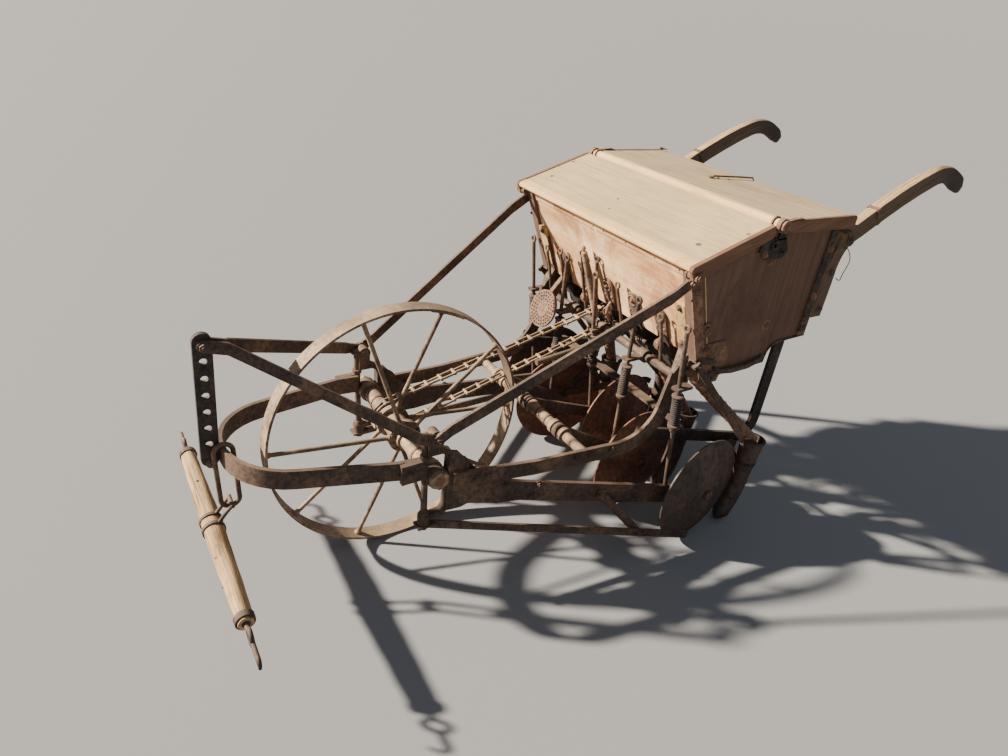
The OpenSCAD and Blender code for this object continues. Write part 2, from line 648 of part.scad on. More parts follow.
// Iron fittings on the box's ends: lid pivots, rail brackets, edge straps and the feed shaft's bearings
pivot = [540, 789];
pin_r = 6;
rail = ridge + [0, rail_r - 6];
cleat_in = box_half + iron_t + brace_t + 5;
cleat_t = 12;
module box_irons() {
  translate([box_half + iron_t / 2, 0, 0]) side_view(iron_t) difference() {
    union() {
      board_band(front_top - [proud, 0], front_low - [proud, 0], 0, 30, 6, norm(front_low - front_top) - 4);
      board_band(rear_low, rear_top, 0, 30, 0, norm(rear_top - rear_low) - 34);
      translate(pivot) circle(r = 12);
      polygon([[752, 842], [752, 806], [800, 806], [806, 842], [798, rail[1]], [774, rail[1]]]);
      translate(rail) circle(r = rail_r + 4);
      polygon([[640, 590], [720, 590], [744, 540], [724, 474], [664, 474], [644, 540]]);
    }
    translate(rail) circle(r = rail_r + seat);
    translate([feed_y, feed_z]) circle(r = feed_r + fit);
  }
  translate([box_half, pivot[0], pivot[1]]) rotate([0, 90, 0]) {
    cylinder(h = cleat_in - box_half + cleat_t + 8, r = pin_r);
    cylinder(h = cleat_in - box_half - 1, r = pin_r + 4);
    translate([0, 0, cleat_in - box_half + cleat_t + 1]) cylinder(h = 7, r = pin_r + 5, $fn = 6);
  }
}
module box_irons_left() color(iron) box_irons();
module box_irons_right() color(iron) mirror([1, 0, 0]) box_irons();

// Lids with a cleat under each end; the front one turns on pins, the rear one on the rail
cleat_h = 22;
lid_half = cleat_in + cleat_t;
function lid_line(a, b, d) = a + left_of(unit(b - a)) * d;
module lid_plate(a, b) side_view(2 * lid_half)
  polygon([a, b, lid_line(b, a, -lid_t), lid_line(a, b, lid_t)]);
module lid_front() color(wood_faded) difference() {
  a = [524, 797];
  b = ridge - [rail_r + 10, 4];
  union() {
    lid_plate(a, b);
    both_sides() translate([cleat_in + cleat_t / 2, 0, 0]) side_view(cleat_t) {
      polygon([a + [4, 4], b - [3, -1], b - [3, cleat_h - 5], pivot + [6, -12], pivot + [0, -12]]);
      translate(pivot) circle(r = 12);
    }
  }
  across(pivot[0], pivot[1]) cylinder(h = 2 * box_w, r = pin_r + fit, center = true);
}
module lid_rear() color(wood_faded) difference() {
  a = ridge + [rail_r + 6, 1];
  b = rear_top + [14, 1];
  union() {
    lid_plate(a, b);
    both_sides() translate([cleat_in + cleat_t / 2, 0, 0]) side_view(cleat_t) {
      polygon([rail + [0, 9], a + [10, 9], b - [3, -1], b - [3, cleat_h - 5], a - [-6, cleat_h - 8], rail - [0, 9]]);
      translate(rail) circle(r = rail_r + 4.5);
    }
  }
  across(rail[0], rail[1]) cylinder(h = 2 * box_w, r = rail_r + fit, center = true);
}
module lid_rail() color(wood_faded) across(rail[0], rail[1])
  cylinder(h = 2 * (lid_half + 8), r = rail_r, center = true);

// Handles bolted to the back of the box
module handle() translate([handle_x, 0, 0]) side_view(handle_t) {
  off = handle_h / 2 + seat;
  lean = unit(rear_top - rear_low);
  out = [lean[1], -lean[0]] * off;
  low = rear_low + lean * 50 + out;
  high = rear_low + lean * 200 + out;
  rise = rear_top + [114, -16];
  run = handle_reach - 122 - rise[0];
  strip([
    low, high, rear_top + [46, -56], rise, rise + [run * 3 / 7, 56], rise + [run * 23 / 28, 96],
    rise + [run, 106], rise + [run + 50, 100], rise + [run + 95, 80], rise + [run + 122, 58]
  ], handle_h);
}
module handle_left() color(wood_grey) handle();
module handle_right() color(wood_grey) mirror([1, 0, 0]) handle();

// Hitch link round the loop's nose, and the singletree that hangs in it
link_x = hitch_t / 2 + 10;
link_wire = 5.5;
link_y = 2.3 - loop_reach;
link_top = 391;
link_low = 264;
link_half = 20;
tree_l = 610;
tree_y = -455;
tree_z = 200;
tree_r = 23;
staple_r = 4.5;
staple_x = 16;
pin_eye_r = staple_r + 0.7;
eye_z = link_low - link_half + link_wire + pin_eye_r + 2 * seat;
hook_r = 5;
// a link of round rod with half-round ends, standing in the side view's plane
module oval_link(half, long, wire) {
  for (s = [-1, 1]) {
    translate([0, s * half, -long / 2]) cylinder(h = long, r = wire);
    translate([0, 0, s * long / 2]) rotate([90 * s, 0, 90]) rotate_extrude(angle = 180) translate([half, 0]) circle(r = wire);
  }
}
module hitch_link() color(iron)
  translate([link_x, link_y, (link_top + link_low) / 2]) oval_link(link_half, link_top - link_low, link_wire);
module singletree() color(wood_grey) {
  translate([link_x, tree_y, tree_z]) rotate([0, 90, 0]) for (s = [0, 1]) mirror([0, 0, s]) {
    cylinder(h = tree_l / 2, r1 = tree_r, r2 = tree_r - 5);
    translate([0, 0, staple_x - 5]) cylinder(h = 10, r = tree_r + 3);
    translate([0, 0, tree_l / 2 - 16]) cylinder(h = 12, r = tree_r - 2);
  }
  for (s = [-1, 1]) {
    rod([link_x + s * staple_x, tree_y + 14, tree_z + tree_r - 8], [link_x + s * staple_x, link_y + 1.5, eye_z + 1.5], staple_r);
    translate([link_x + s * tree_l / 2, tree_y, tree_z]) rotate([0, s * 90, 0]) {
      translate([0, 0, -4]) cylinder(h = 26, r = hook_r);
      translate([0, 0, 34]) rotate([90, 0, 0]) rotate_extrude() translate([15, 0]) circle(r = hook_r + 0.8, $fn = 24);
      translate([0, 0, 47]) cylinder(h = 41, r = hook_r);
      translate([-11, 0, 88]) rotate([90, 0, 0]) rotate_extrude(angle = 180) translate([11, 0]) circle(r = hook_r, $fn = 24);
    }
  }
  translate([link_x, link_y, eye_z]) rotate([0, 90, 0]) cylinder(h = 2 * staple_x + 10, r = pin_eye_r, center = true);
}

axle();
wheel();
yoke_left();
yoke_right();
front_loop();
hitch_bar();
hitch_strap_left();
hitch_strap_right();
side_bar_left();
side_bar_right();
rear_stay_left();
rear_stay_right();
long_brace_left();
long_brace_right();
flat_straps();
drag_rod();
drag_bars();
boots();
seed_tubes();
pressure_rods();
lift_shaft();
cross_bar();
disc_1();
disc_2();
disc_3();
disc_4();
disc_5();
feed_cups();
feed_shaft();
drive_chain();
rate_plate();
box_front();
box_rear();
box_bottom();
box_divider();
box_end_left();
box_end_right();
box_irons_left();
box_irons_right();
lid_front();
lid_rear();
lid_rail();
handle_left();
handle_right();
hitch_link();
singletree();
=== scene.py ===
import json
import math
import random

import bpy
import bmesh
from mathutils import Matrix, Vector


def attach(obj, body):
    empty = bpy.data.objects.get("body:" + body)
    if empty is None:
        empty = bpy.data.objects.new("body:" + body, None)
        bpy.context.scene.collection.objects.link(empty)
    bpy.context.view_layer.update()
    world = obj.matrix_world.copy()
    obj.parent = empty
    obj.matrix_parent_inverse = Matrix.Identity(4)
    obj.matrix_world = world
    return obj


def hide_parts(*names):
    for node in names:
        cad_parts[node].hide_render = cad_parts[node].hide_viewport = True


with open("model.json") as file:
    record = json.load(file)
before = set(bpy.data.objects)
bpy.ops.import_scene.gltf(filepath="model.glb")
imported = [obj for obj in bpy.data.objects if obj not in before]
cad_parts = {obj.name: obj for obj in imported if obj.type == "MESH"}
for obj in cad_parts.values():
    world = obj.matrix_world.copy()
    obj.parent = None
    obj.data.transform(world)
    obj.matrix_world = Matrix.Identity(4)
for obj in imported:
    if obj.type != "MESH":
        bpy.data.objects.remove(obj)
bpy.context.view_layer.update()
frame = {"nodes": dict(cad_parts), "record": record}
NODES = frame["nodes"]
FIXED = "frame"
BODY_OF = {n: b for b, names in frame["record"]["behaviour"]["bodies"].items() for n in names}
rng = random.Random(7)
BEVEL_ANGLE = math.radians(36)      # edges sharper than this get a bevel
SHARP_ANGLE = math.radians(38)      # edges sharper than this stay sharp in the shading
BLACK, WHITE = (0, 0, 0), (1, 1, 1)


# Materials

def new_material(name):
    m = bpy.data.materials.new(name)
    m.use_nodes = True
    t = m.node_tree
    return m, t, t.nodes["Principled BSDF"]


def node(t, kind, **inputs):
    n = t.nodes.new(kind)
    for k, v in inputs.items():
        n.inputs[k].default_value = v
    return n


def ramp(t, source, stops):
    n = t.nodes.new("ShaderNodeValToRGB")
    while len(n.color_ramp.elements) < len(stops):
        n.color_ramp.elements.new(0.5)
    for e, (at, c) in zip(n.color_ramp.elements, stops):
        e.position = at
        e.color = (*c, 1)
    t.links.new(source, n.inputs["Fac"])
    return n.outputs["Color"]


def coords(t, scale=(1, 1, 1), slope=0.0):
    """object coordinates, turned about X by slope degrees, then scaled"""
    c = t.nodes.new("ShaderNodeTexCoord")
    turned = node(t, "ShaderNodeMapping", Rotation=(math.radians(slope), 0, 0))
    m = node(t, "ShaderNodeMapping", Scale=scale)
    t.links.new(c.outputs["Object"], turned.inputs["Vector"])
    t.links.new(turned.outputs["Vector"], m.inputs["Vector"])
    return m.outputs["Vector"]


def noise(t, vector, scale, detail, rough, distort=0.0):
    n = node(t, "ShaderNodeTexNoise", Scale=scale, Detail=detail, Roughness=rough, Distortion=distort)
    t.links.new(vector, n.inputs["Vector"])
    return n.outputs["Fac"]


def mix(t, fac, a, b, blend="MIX"):
    n = t.nodes.new("ShaderNodeMix")
    n.data_type = "RGBA"
    n.blend_type = blend
    for value, socket in ((fac, n.inputs[0]), (a, n.inputs[6]), (b, n.inputs[7])):
        if isinstance(value, bpy.types.NodeSocket):
            t.links.new(value, socket)
        elif isinstance(value, (int, float)):
            socket.default_value = value
        else:
            socket.default_value = (*value, 1)
    return n.outputs[2]


def bump(t, bsdf, height, strength, distance):
    n = node(t, "ShaderNodeBump", Strength=strength, Distance=distance)
    t.links.new(height, n.inputs["Height"])
    t.links.new(n.outputs["Normal"], bsdf.inputs["Normal"])


def add(t, a, b, wa, wb):
    """a times wa plus b times wb"""
    n = t.nodes.new("ShaderNodeMath")
    n.operation = "MULTIPLY_ADD"
    t.links.new(a, n.inputs[0])
    n.inputs[1].default_value = wa
    m = t.nodes.new("ShaderNodeMath")
    m.operation = "MULTIPLY"
    t.links.new(b, m.inputs[0])
    m.inputs[1].default_value = wb
    t.links.new(m.outputs[0], n.inputs[2])
    return n.outputs[0]


def facing_up(t):
    """how far the surface faces up, from -1 to 1"""
    g = t.nodes.new("ShaderNodeNewGeometry")
    split = t.nodes.new("ShaderNodeSeparateXYZ")
    t.links.new(g.outputs["Normal"], split.inputs["Vector"])
    return split.outputs["Z"]


def rusty_iron(name, dark, mid, light, grain=1.0, rough=(0.60, 0.95), dust=(0.24, 0.165, 0.11), dusty=0.3):
    """rust in patches with specks and pits, and dust on what faces up"""
    m, t, b = new_material(name)
    v = coords(t)
    patches = noise(t, v, 8 * grain, 9, 0.68, 0.4)
    fine = noise(t, v, 95 * grain, 7, 0.72)
    pits = noise(t, v, 380 * grain, 3, 0.6)
    base = ramp(t, patches, [(0.32, dark), (0.48, mid), (0.60, light), (0.72, mid), (0.82, dark)])
    speck = ramp(t, fine, [(0.36, (0.5, 0.46, 0.44)), (0.5, (0.95, 0.94, 0.93)), (0.66, (1.35, 1.24, 1.12))])
    c = mix(t, 1.0, base, speck, "MULTIPLY")
    up = add(t, facing_up(t), patches, 0.6, 0.8)
    c = mix(t, ramp(t, up, [(0.55, BLACK), (1.1, (dusty,) * 3)]), c, dust)
    t.links.new(c, b.inputs["Base Color"])
    t.links.new(ramp(t, fine, [(0.3, (rough[1],) * 3), (0.7, (rough[0],) * 3)]), b.inputs["Roughness"])
    b.inputs["Metallic"].default_value = 0.1
    bump(t, b, add(t, fine, pits, 0.7, 0.3), 0.6, 0.0013)
    return m


def old_wood(name, pale, mid, dark, paint=None, paint_amount=0.5, axis="X", slope=0.0, crack=0.6,
             blot=None, blots=0.3, stain=0.5, fibres=0.4, tip=None, painted_side_shade=None):
    """weathered wood with its grain along an axis, with what is left of its paint, blots and stains,
    and if asked for a dark tip far behind and painted shade on the flanks, darker where the face turns from
    up"""
    m, t, b = new_material(name)
    stretch = {"X": (0.9, 24, 24), "Y": (24, 0.9, 24), "Z": (24, 24, 0.9)}[axis]
    v = coords(t, stretch, slope)
    flat = coords(t)
    grain = noise(t, v, 3.2, 8, 0.62, 0.9)
    fibre = noise(t, v, 15, 5, 0.7, 0.2)
    big = noise(t, flat, 2.8, 6, 0.62, 0.3)
    c = ramp(t, grain, [(0.26, dark), (0.44, mid), (0.62, pale)])
    low, high = 1 - fibres, 1 + fibres * 0.4
    tones = [(0.34, (low, low * 0.97, low * 0.93)), (0.52, WHITE), (0.7, (high,) * 3)]
    c = mix(t, 1.0, c, ramp(t, fibre, tones), "MULTIPLY")
    if paint is not None:
        worn_off = add(t, noise(t, flat, 6, 9, 0.7, 0.5), fibre, 0.78, 0.3)
        at = 0.62 - 0.3 * paint_amount
        mask = ramp(t, worn_off, [(at, WHITE), (at + 0.09, BLACK)])
        tones = [(0.3, tuple(0.72 * k for k in paint)), (0.7, tuple(1.25 * k for k in paint))]
        c = mix(t, mask, c, ramp(t, noise(t, flat, 15, 7, 0.65), tones))
    if blot is not None:
        spot = noise(t, flat, 4.4, 9, 0.72, 1.2)
        more = 0.25 * blots
        c = mix(t, ramp(t, spot, [(0.66 - more, BLACK), (0.80 - more, (0.8,) * 3)]), c, blot)
    c = mix(t, stain, c, ramp(t, big, [(0.3, (0.62, 0.58, 0.55)), (0.7, (1.22, 1.17, 1.1))]), "MULTIPLY")
    # painted shade: faces that turn away from up are darkened, as if the sides lay in shade
    if painted_side_shade is not None:
        upward = add(t, facing_up(t), fibre, 0.8, 0.2)
        c = mix(t, ramp(t, upward, [(0.40, (0.85,) * 3), (0.62, BLACK)]), c, painted_side_shade)
    if tip is not None:
        split = t.nodes.new("ShaderNodeSeparateXYZ")
        t.links.new(flat, split.inputs["Vector"])
        half_way_back = add(t, split.outputs["Y"], big, 0.5, 0.15)      # half, to fit the ramp's 0 to 1
        c = mix(t, ramp(t, half_way_back, [(0.74, BLACK), (0.84, WHITE)]), c, tip)
    t.links.new(c, b.inputs["Base Color"])
    b.inputs["Roughness"].default_value = 0.85
    b.inputs["Specular IOR Level"].default_value = 0.25
    bump(t, b, add(t, grain, fibre, 0.6, 0.5), crack, 0.0016)
    return m


IRON = rusty_iron("rusty_iron", (0.028, 0.018, 0.014), (0.066, 0.041, 0.029), (0.135, 0.082, 0.053))
# dark iron: partly grease on castings, partly painted shade, a darker copy of the rust for parts that lie in
# shade
IRON_GREASE_AND_SHADE = rusty_iron("greasy_iron_painted_shade", (0.012, 0.010, 0.010), (0.026, 0.020, 0.018), (0.055, 0.038, 0.029),
                       dusty=0.12)
# warm iron: orange rust painted lighter as if in sun, a sunlit copy of the rust
IRON_WARM_SUNLIT = rusty_iron("warm_iron_painted_sunlight", (0.085, 0.046, 0.029), (0.15, 0.082, 0.050), (0.235, 0.13, 0.078),
                       dust=(0.30, 0.19, 0.115))
# pale iron: rust painted pale as if in sun, a sunlit copy of the rust for the axle, rods, chain and pole
IRON_PALE_SUNLIT = rusty_iron("pale_iron_painted_sunlight", (0.10, 0.064, 0.041), (0.20, 0.132, 0.083), (0.33, 0.228, 0.146),
                       dust=(0.38, 0.27, 0.17))
IRON_WORN = rusty_iron("worn_iron", (0.06, 0.038, 0.026), (0.16, 0.105, 0.067), (0.30, 0.208, 0.135),
                       dust=(0.40, 0.29, 0.18), dusty=0.4)
IRON_RED = rusty_iron("red_rust", (0.06, 0.026, 0.018), (0.125, 0.053, 0.034), (0.21, 0.098, 0.06),
                      dust=(0.22, 0.125, 0.08))
SHEET = rusty_iron("sheet_iron", (0.024, 0.016, 0.014), (0.050, 0.031, 0.025), (0.088, 0.053, 0.040),
                   0.6, (0.45, 0.8), (0.15, 0.1, 0.075), 0.2)
LID = old_wood("lid_wood", (0.50, 0.385, 0.215), (0.445, 0.34, 0.19), (0.35, 0.26, 0.145), axis="X",
               blot=(0.40, 0.285, 0.16), blots=0.2, crack=0.3, stain=0.55, fibres=0.2)
LID_REAR = old_wood("rear_lid_wood", (0.42, 0.33, 0.21), (0.355, 0.275, 0.17), (0.225, 0.17, 0.105), axis="X",
                    crack=0.4, stain=0.4, fibres=0.25)
YELLOW = old_wood("pale_strip", (0.70, 0.475, 0.225), (0.64, 0.42, 0.19), (0.44, 0.255, 0.11), axis="X",
                  blot=(0.50, 0.24, 0.09), blots=0.32, crack=0.3, stain=0.4, fibres=0.2)
CLEAT = old_wood("cleat_wood", (0.21, 0.115, 0.072), (0.165, 0.086, 0.054), (0.092, 0.047, 0.031), axis="Y",
                 slope=-10, crack=0.4, fibres=0.3)
BOX = old_wood("box_wood", (0.70, 0.46, 0.26), (0.60, 0.355, 0.185), (0.40, 0.20, 0.095),
               paint=(0.78, 0.565, 0.36), paint_amount=0.62, axis="X",
               blot=(0.34, 0.135, 0.06), blots=0.78, crack=0.5, fibres=0.34, stain=0.85)
END = old_wood("end_wood", (0.165, 0.102, 0.075), (0.138, 0.083, 0.061), (0.098, 0.056, 0.042),
               paint=(0.125, 0.074, 0.056), paint_amount=0.55, axis="Z",
               blot=(0.20, 0.115, 0.072), blots=0.3, crack=0.22, fibres=0.1, stain=0.8)
INSIDE = old_wood("inside_wood", (0.33, 0.235, 0.16), (0.26, 0.175, 0.115), (0.15, 0.09, 0.06), axis="X")
# the handles' wood, with painted shade darkening its sides
GREY = old_wood("grey_wood", (0.50, 0.345, 0.18), (0.36, 0.24, 0.125), (0.10, 0.066, 0.04), axis="Y",
                slope=-24, crack=1.0, fibres=0.5, tip=(0.06, 0.045, 0.036), painted_side_shade=(0.085, 0.062, 0.048))
TREE = old_wood("tree_wood", (0.56, 0.385, 0.205), (0.40, 0.265, 0.14), (0.07, 0.045, 0.028), axis="X",
                blot=(0.15, 0.095, 0.058), blots=0.6, crack=1.0, fibres=0.6, stain=0.9)
FADED = old_wood("faded_yellow", (0.46, 0.31, 0.13), (0.40, 0.25, 0.10), (0.24, 0.13, 0.06),
                 paint=(0.50, 0.36, 0.17), paint_amount=0.7, axis="Z",
                 blot=(0.25, 0.12, 0.06), blots=0.3, crack=0.3)


# Shapes built point by point, in millimetres

def circle(count):
    """the angles of count points round a circle, in radians"""
    return [2 * math.pi * k / count for k in range(count)]


class Shape:
    """points and faces of one piece, to which each method adds a closed body"""

    def __init__(self):
        self.verts, self.faces = [], []

    def add(self, verts, faces):
        base = len(self.verts)
        self.verts += [tuple(v) for v in verts]
        self.faces += [tuple(base + i for i in f) for f in faces]

    def rings(self, loops, closed=False):
        """a skin over loops of points, with a cap at both ends or closed into a ring"""
        n = len(loops[0])
        faces = []
        for i in range(len(loops) if closed else len(loops) - 1):
            a, b = i * n, ((i + 1) % len(loops)) * n
            faces += [(a + k, a + (k + 1) % n, b + (k + 1) % n, b + k) for k in range(n)]
        if not closed:
            end = (len(loops) - 1) * n
            faces += [tuple(reversed(range(n))), tuple(end + k for k in range(n))]
        self.add([p for loop in loops for p in loop], faces)

    def tube(self, points, radius, sides=12, closed=False):
        """a round bar along points, with one radius or one for each point"""
        points = [Vector(p) for p in points]
        count = len(points)
        loops, up = [], None
        for i, p in enumerate(points):
            ahead = points[(i + 1) % count] if closed or i < count - 1 else p
            back = points[i - 1] if closed or i > 0 else p
            t = (ahead - back).normalized()
            if up is None:
                up = t.orthogonal().normalized()
            up = (up - t * up.dot(t)).normalized()
            side = t.cross(up)
            r = radius[i] if isinstance(radius, (list, tuple)) else radius
            loops.append([p + (up * math.cos(a) + side * math.sin(a)) * r for a in circle(sides)])
        self.rings(loops, closed)

    def lathe(self, start, along, profile, sides=24, spin=0.0, hollow=False):
        """a turned body: its profile lists (distance along, radius); hollow closes the profile itself"""
        along = Vector(along).normalized()
        up = along.orthogonal().normalized()
        side = along.cross(up)
        start = Vector(start)
        loops = [[start + along * d + (up * math.cos(a) + side * math.sin(a)) * r
                  for a in (spin + 2 * math.pi * k / sides for k in range(sides))] for d, r in profile]
        self.rings(loops, closed=hollow)

    def prism(self, outline, x0, x1):
        """an outline of (y, z) points, carried from x0 to x1"""
        self.rings([[(x, y, z) for y, z in outline] for x in (x0, x1)])

    def band(self, path, width, thick, normal):
        """a flat bar along a path, with one normal or one for each point"""
        path = [Vector(p) for p in path]
        loops = []
        for i, p in enumerate(path):
            t = (path[min(i + 1, len(path) - 1)] - path[max(i - 1, 0)]).normalized()
            n = Vector(normal[i] if isinstance(normal, list) else normal)
            n = (n - t * n.dot(t)).normalized()
            s = t.cross(n)
            corners = ((-1, -1), (1, -1), (1, 1), (-1, 1))
            loops.append([p + s * width / 2 * a + n * thick / 2 * b for a, b in corners])
        self.rings(loops)

    def nut(self, at, axis, r, h, washer=1.5, stud=True):
        """a hexagonal nut on a washer, as wide as washer times r, with the bolt's end through it"""
        axis, at = Vector(axis).normalized(), Vector(at)
        if washer:
            self.lathe(at, axis, [(0, r * washer), (h * 0.18, r * washer), (h * 0.24, r * washer * 0.94)], 20)
        foot = at + axis * (h * 0.2 if washer else 0)
        self.lathe(foot, axis, [(0, r), (h * 0.7, r), (h * 0.85, r * 0.86)], 6, rng.uniform(0, 1))
        if stud:
            self.lathe(foot, axis, [(0, r * 0.52), (h * 1.15, r * 0.52), (h * 1.28, r * 0.4)], 12)

    def dome(self, at, axis, r, h, washer=0):
        """a round head, on a washer of the given radius if there is one"""
        axis, at = Vector(axis).normalized(), Vector(at)
        if washer:
            self.lathe(at, axis, [(0, washer), (h * 0.3, washer), (h * 0.36, washer * 0.93)], 20)
        crown = [(h * math.sin(a), r * math.cos(a) + 0.01) for a in (0.2, 0.55, 0.95, 1.3, 1.55)]
        self.lathe(at, axis, [(0, r)] + crown, 16)

    def coil(self, a, b, radius, wire, turns):
        """a spring of wire from a to b"""
        steps = 18                                      # points in one turn
        a, b = Vector(a), Vector(b)
        t = (b - a).normalized()
        up = t.orthogonal().normalized()
        side = t.cross(up)
        count = int(turns * steps)
        points = []
        for k in range(count + 1):
            turn = 2 * math.pi * k / steps
            points.append(a + (b - a) * k / count + (up * math.cos(turn) + side * math.sin(turn)) * radius)
        self.tube(points, wire, 8)

    def ring(self, centre, axis, radius, wire, sides=10, steps=32):
        """a closed ring of wire"""
        axis = Vector(axis).normalized()
        up = axis.orthogonal().normalized()
        side = axis.cross(up)
        centre = Vector(centre)
        points = [centre + up * math.cos(a) * radius + side * math.sin(a) * radius for a in circle(steps)]
        self.tube(points, wire, sides, closed=True)

    def piece(self, name, look, body=FIXED, bevel=0.0, segments=2, replaces=()):
        """the Blender object of this shape, in metres"""
        b = bmesh.new()
        points = [b.verts.new((x / 1000, y / 1000, z / 1000)) for x, y, z in self.verts]
        for f in self.faces:
            b.faces.new([points[i] for i in f])
        bmesh.ops.recalc_face_normals(b, faces=b.faces)
        make_piece(b, name, look, body, bevel, segments, replaces)


def make_piece(b, name, look, body, bevel, segments, replaces):
    """an object from a mesh in b: bevelled, shaded, and given its body and the nodes it replaces"""
    if bevel:
        edges = [e for e in b.edges if len(e.link_faces) == 2 and e.calc_face_angle(0) > BEVEL_ANGLE]
        bmesh.ops.bevel(b, geom=edges, offset=bevel / 1000, offset_type="OFFSET", segments=segments,
                        profile=0.5, affect="EDGES", clamp_overlap=True)
    mesh = bpy.data.meshes.new(name)
    b.to_mesh(mesh)
    b.free()
    mesh.polygons.foreach_set("use_smooth", [True] * len(mesh.polygons))
    mesh.set_sharp_from_angle(angle=SHARP_ANGLE)
    mesh.materials.append(look)
    obj = bpy.data.objects.new(name, mesh)
    bpy.context.scene.collection.objects.link(obj)
    m = obj.modifiers.new("weighted", "WEIGHTED_NORMAL")
    m.keep_sharp = True
    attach(obj, body)
    if replaces:
        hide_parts(*replaces)


def worn(name, look, bevel):
    """a copy of a CAD node with rounded edges, which stands for it"""
    b = bmesh.new()
    b.from_mesh(NODES[name].data)
    bmesh.ops.remove_doubles(b, verts=b.verts, dist=2e-6)
    bmesh.ops.dissolve_limit(b, angle_limit=math.radians(0.5), verts=b.verts, edges=b.edges)
    bmesh.ops.recalc_face_normals(b, faces=b.faces)
    clean = bmesh.new()
    points = [clean.verts.new(v.co) for v in b.verts]
    for f in b.faces:
        clean.faces.new([points[v.index] for v in f.verts])
    b.free()
    make_piece(clean, name + "_worn", look, BODY_OF[name], bevel, 2, (name,))


def smooth_line(points, steps):
    """a curve through points, as a longer list of points"""
    points = [Vector(p) for p in points]
    out = []
    for i in range(len(points) - 1):
        p0, p1, p2 = points[max(i - 1, 0)], points[i], points[i + 1]
        p3 = points[min(i + 2, len(points) - 1)]
        for k in range(steps):
            t = k / steps
            out.append(0.5 * (2 * p1 + (p2 - p0) * t + (2 * p0 - 5 * p1 + 4 * p2 - p3) * t * t
                              + (3 * p1 - p0 - 3 * p2 + p3) * t ** 3))
    return out + [points[-1]]


def flip(v, side):
    """a place or direction on the given side, from the one on the left"""
    return (v[0] * side, v[1], v[2])


SIDES = (1, -1)


# Places repeated from the CAD model, in millimetres: x to its left, y behind the axle, z up

BOX_HALF, LID_HALF, CLEAT_IN = 328, 356, 344
FRONT_TOP, FRONT_LOW = Vector((548, 802)), Vector((642, 547))
RAIL, PIVOT = Vector((786, 878.5)), Vector((540, 789))
WHEEL_R, RIM_W, AXLE_Z = 328, 42, 328
YOKE_X, UPRIGHT_Y, BRACE_Y, BRACE_Z = 208, -26, -8, 440     # a yoke, its upright rod, the long brace's foot
HANDLE_X = 318
SPLAY, DISC_TURN = math.radians(6), math.radians(7)
# for each disc: its place across, its y and the side it is turned to
DISCS = ((2, 722, 1), (1, 645, 1), (0, 735, 1), (-1, 645, -1), (-2, 722, -1))
DISC_STEP, CUP_STEP = 186, 105                              # from disc to disc and from cup to cup
DISC_R, DISC_Z, DISC_DISH = 152, 152, 26
BOOT_R, BOOT_OUT = 182, 12                                  # the boots' curve round the discs
ROD_Y, ROD_Z = 392, 300                                     # the cross rod of the drag bars
OUTER_FROM = Vector((212, 60, 233))                         # where the left outer drag bar begins
ROD_HEAD_Y, ROD_HEAD_Z = 582, 634                           # the pressure rods' upper ends
UP = Vector((0, 0, 1))


def on_board(along, out, x=0.0):
    """a place on the front board: along it upward from its low edge, and out from its face"""
    u = (FRONT_TOP - FRONT_LOW).normalized()
    p = FRONT_LOW + u * along + Vector((-u.y, u.x)) * out
    return Vector((x, p.x, p.y))


BOARD_OUT = (on_board(0, 1) - on_board(0, 0)).normalized()


def disc_axis(i):
    """along a disc's spindle, outward"""
    return Vector((DISCS[i][2] * math.cos(DISC_TURN), math.sin(DISC_TURN), 0))


def back_of(i):
    """level and backward, square to the disc's axis"""
    a = disc_axis(i)
    return Vector((-a.y, a.x, 0)) * DISCS[i][2]


def disc_place(i):
    return Vector((DISCS[i][0] * DISC_STEP, DISCS[i][1], DISC_Z))


def spindle_end(i):
    return disc_place(i) - disc_axis(i) * 30


def drag_to(i):
    return spindle_end(i) - UP * (36 if abs(DISCS[i][0]) == 2 else 0)


OUTER_TURN = math.atan2(drag_to(0).x - OUTER_FROM.x, drag_to(0).y - OUTER_FROM.y)


def outer_at(s, side=1):
    """a place on an outer drag bar, s from its beginning"""
    return Vector((side * (OUTER_FROM.x + s * math.sin(OUTER_TURN)), OUTER_FROM.y + s * math.cos(OUTER_TURN),
                   OUTER_FROM.z))


def drag_from(i):
    """where the drag bar of disc i begins; drag_at gives a place along it, drag_to its end"""
    place = DISCS[i][0]
    if abs(place) == 2:
        return outer_at(166.3, 1 if place > 0 else -1)
    return Vector((147 * ((place > 0) - (place < 0)), ROD_Y, ROD_Z))


def drag_at(i, y):
    a, b = drag_from(i), drag_to(i)
    return a + (b - a) * (y - a.y) / (b.y - a.y)


def rod_foot(i):
    return drag_at(i, min(DISCS[i][1] - 60, 640))


def rod_at(i, z):
    """a place at height z on the pressure rod of disc i"""
    a = rod_foot(i)
    b = Vector((a.x, ROD_HEAD_Y, ROD_HEAD_Z))
    return a + (b - a) * (z - a.z) / (b.z - a.z)


def boot_knee(i):
    return disc_place(i) + disc_axis(i) * BOOT_OUT + back_of(i) * BOOT_R


def boot_high(i):
    return boot_knee(i) + back_of(i) * 10 + UP * 106


def cup_x(i):
    return DISCS[i][0] * CUP_STEP


# Bars, castings, wheel and discs: the CAD shapes with rounded edges

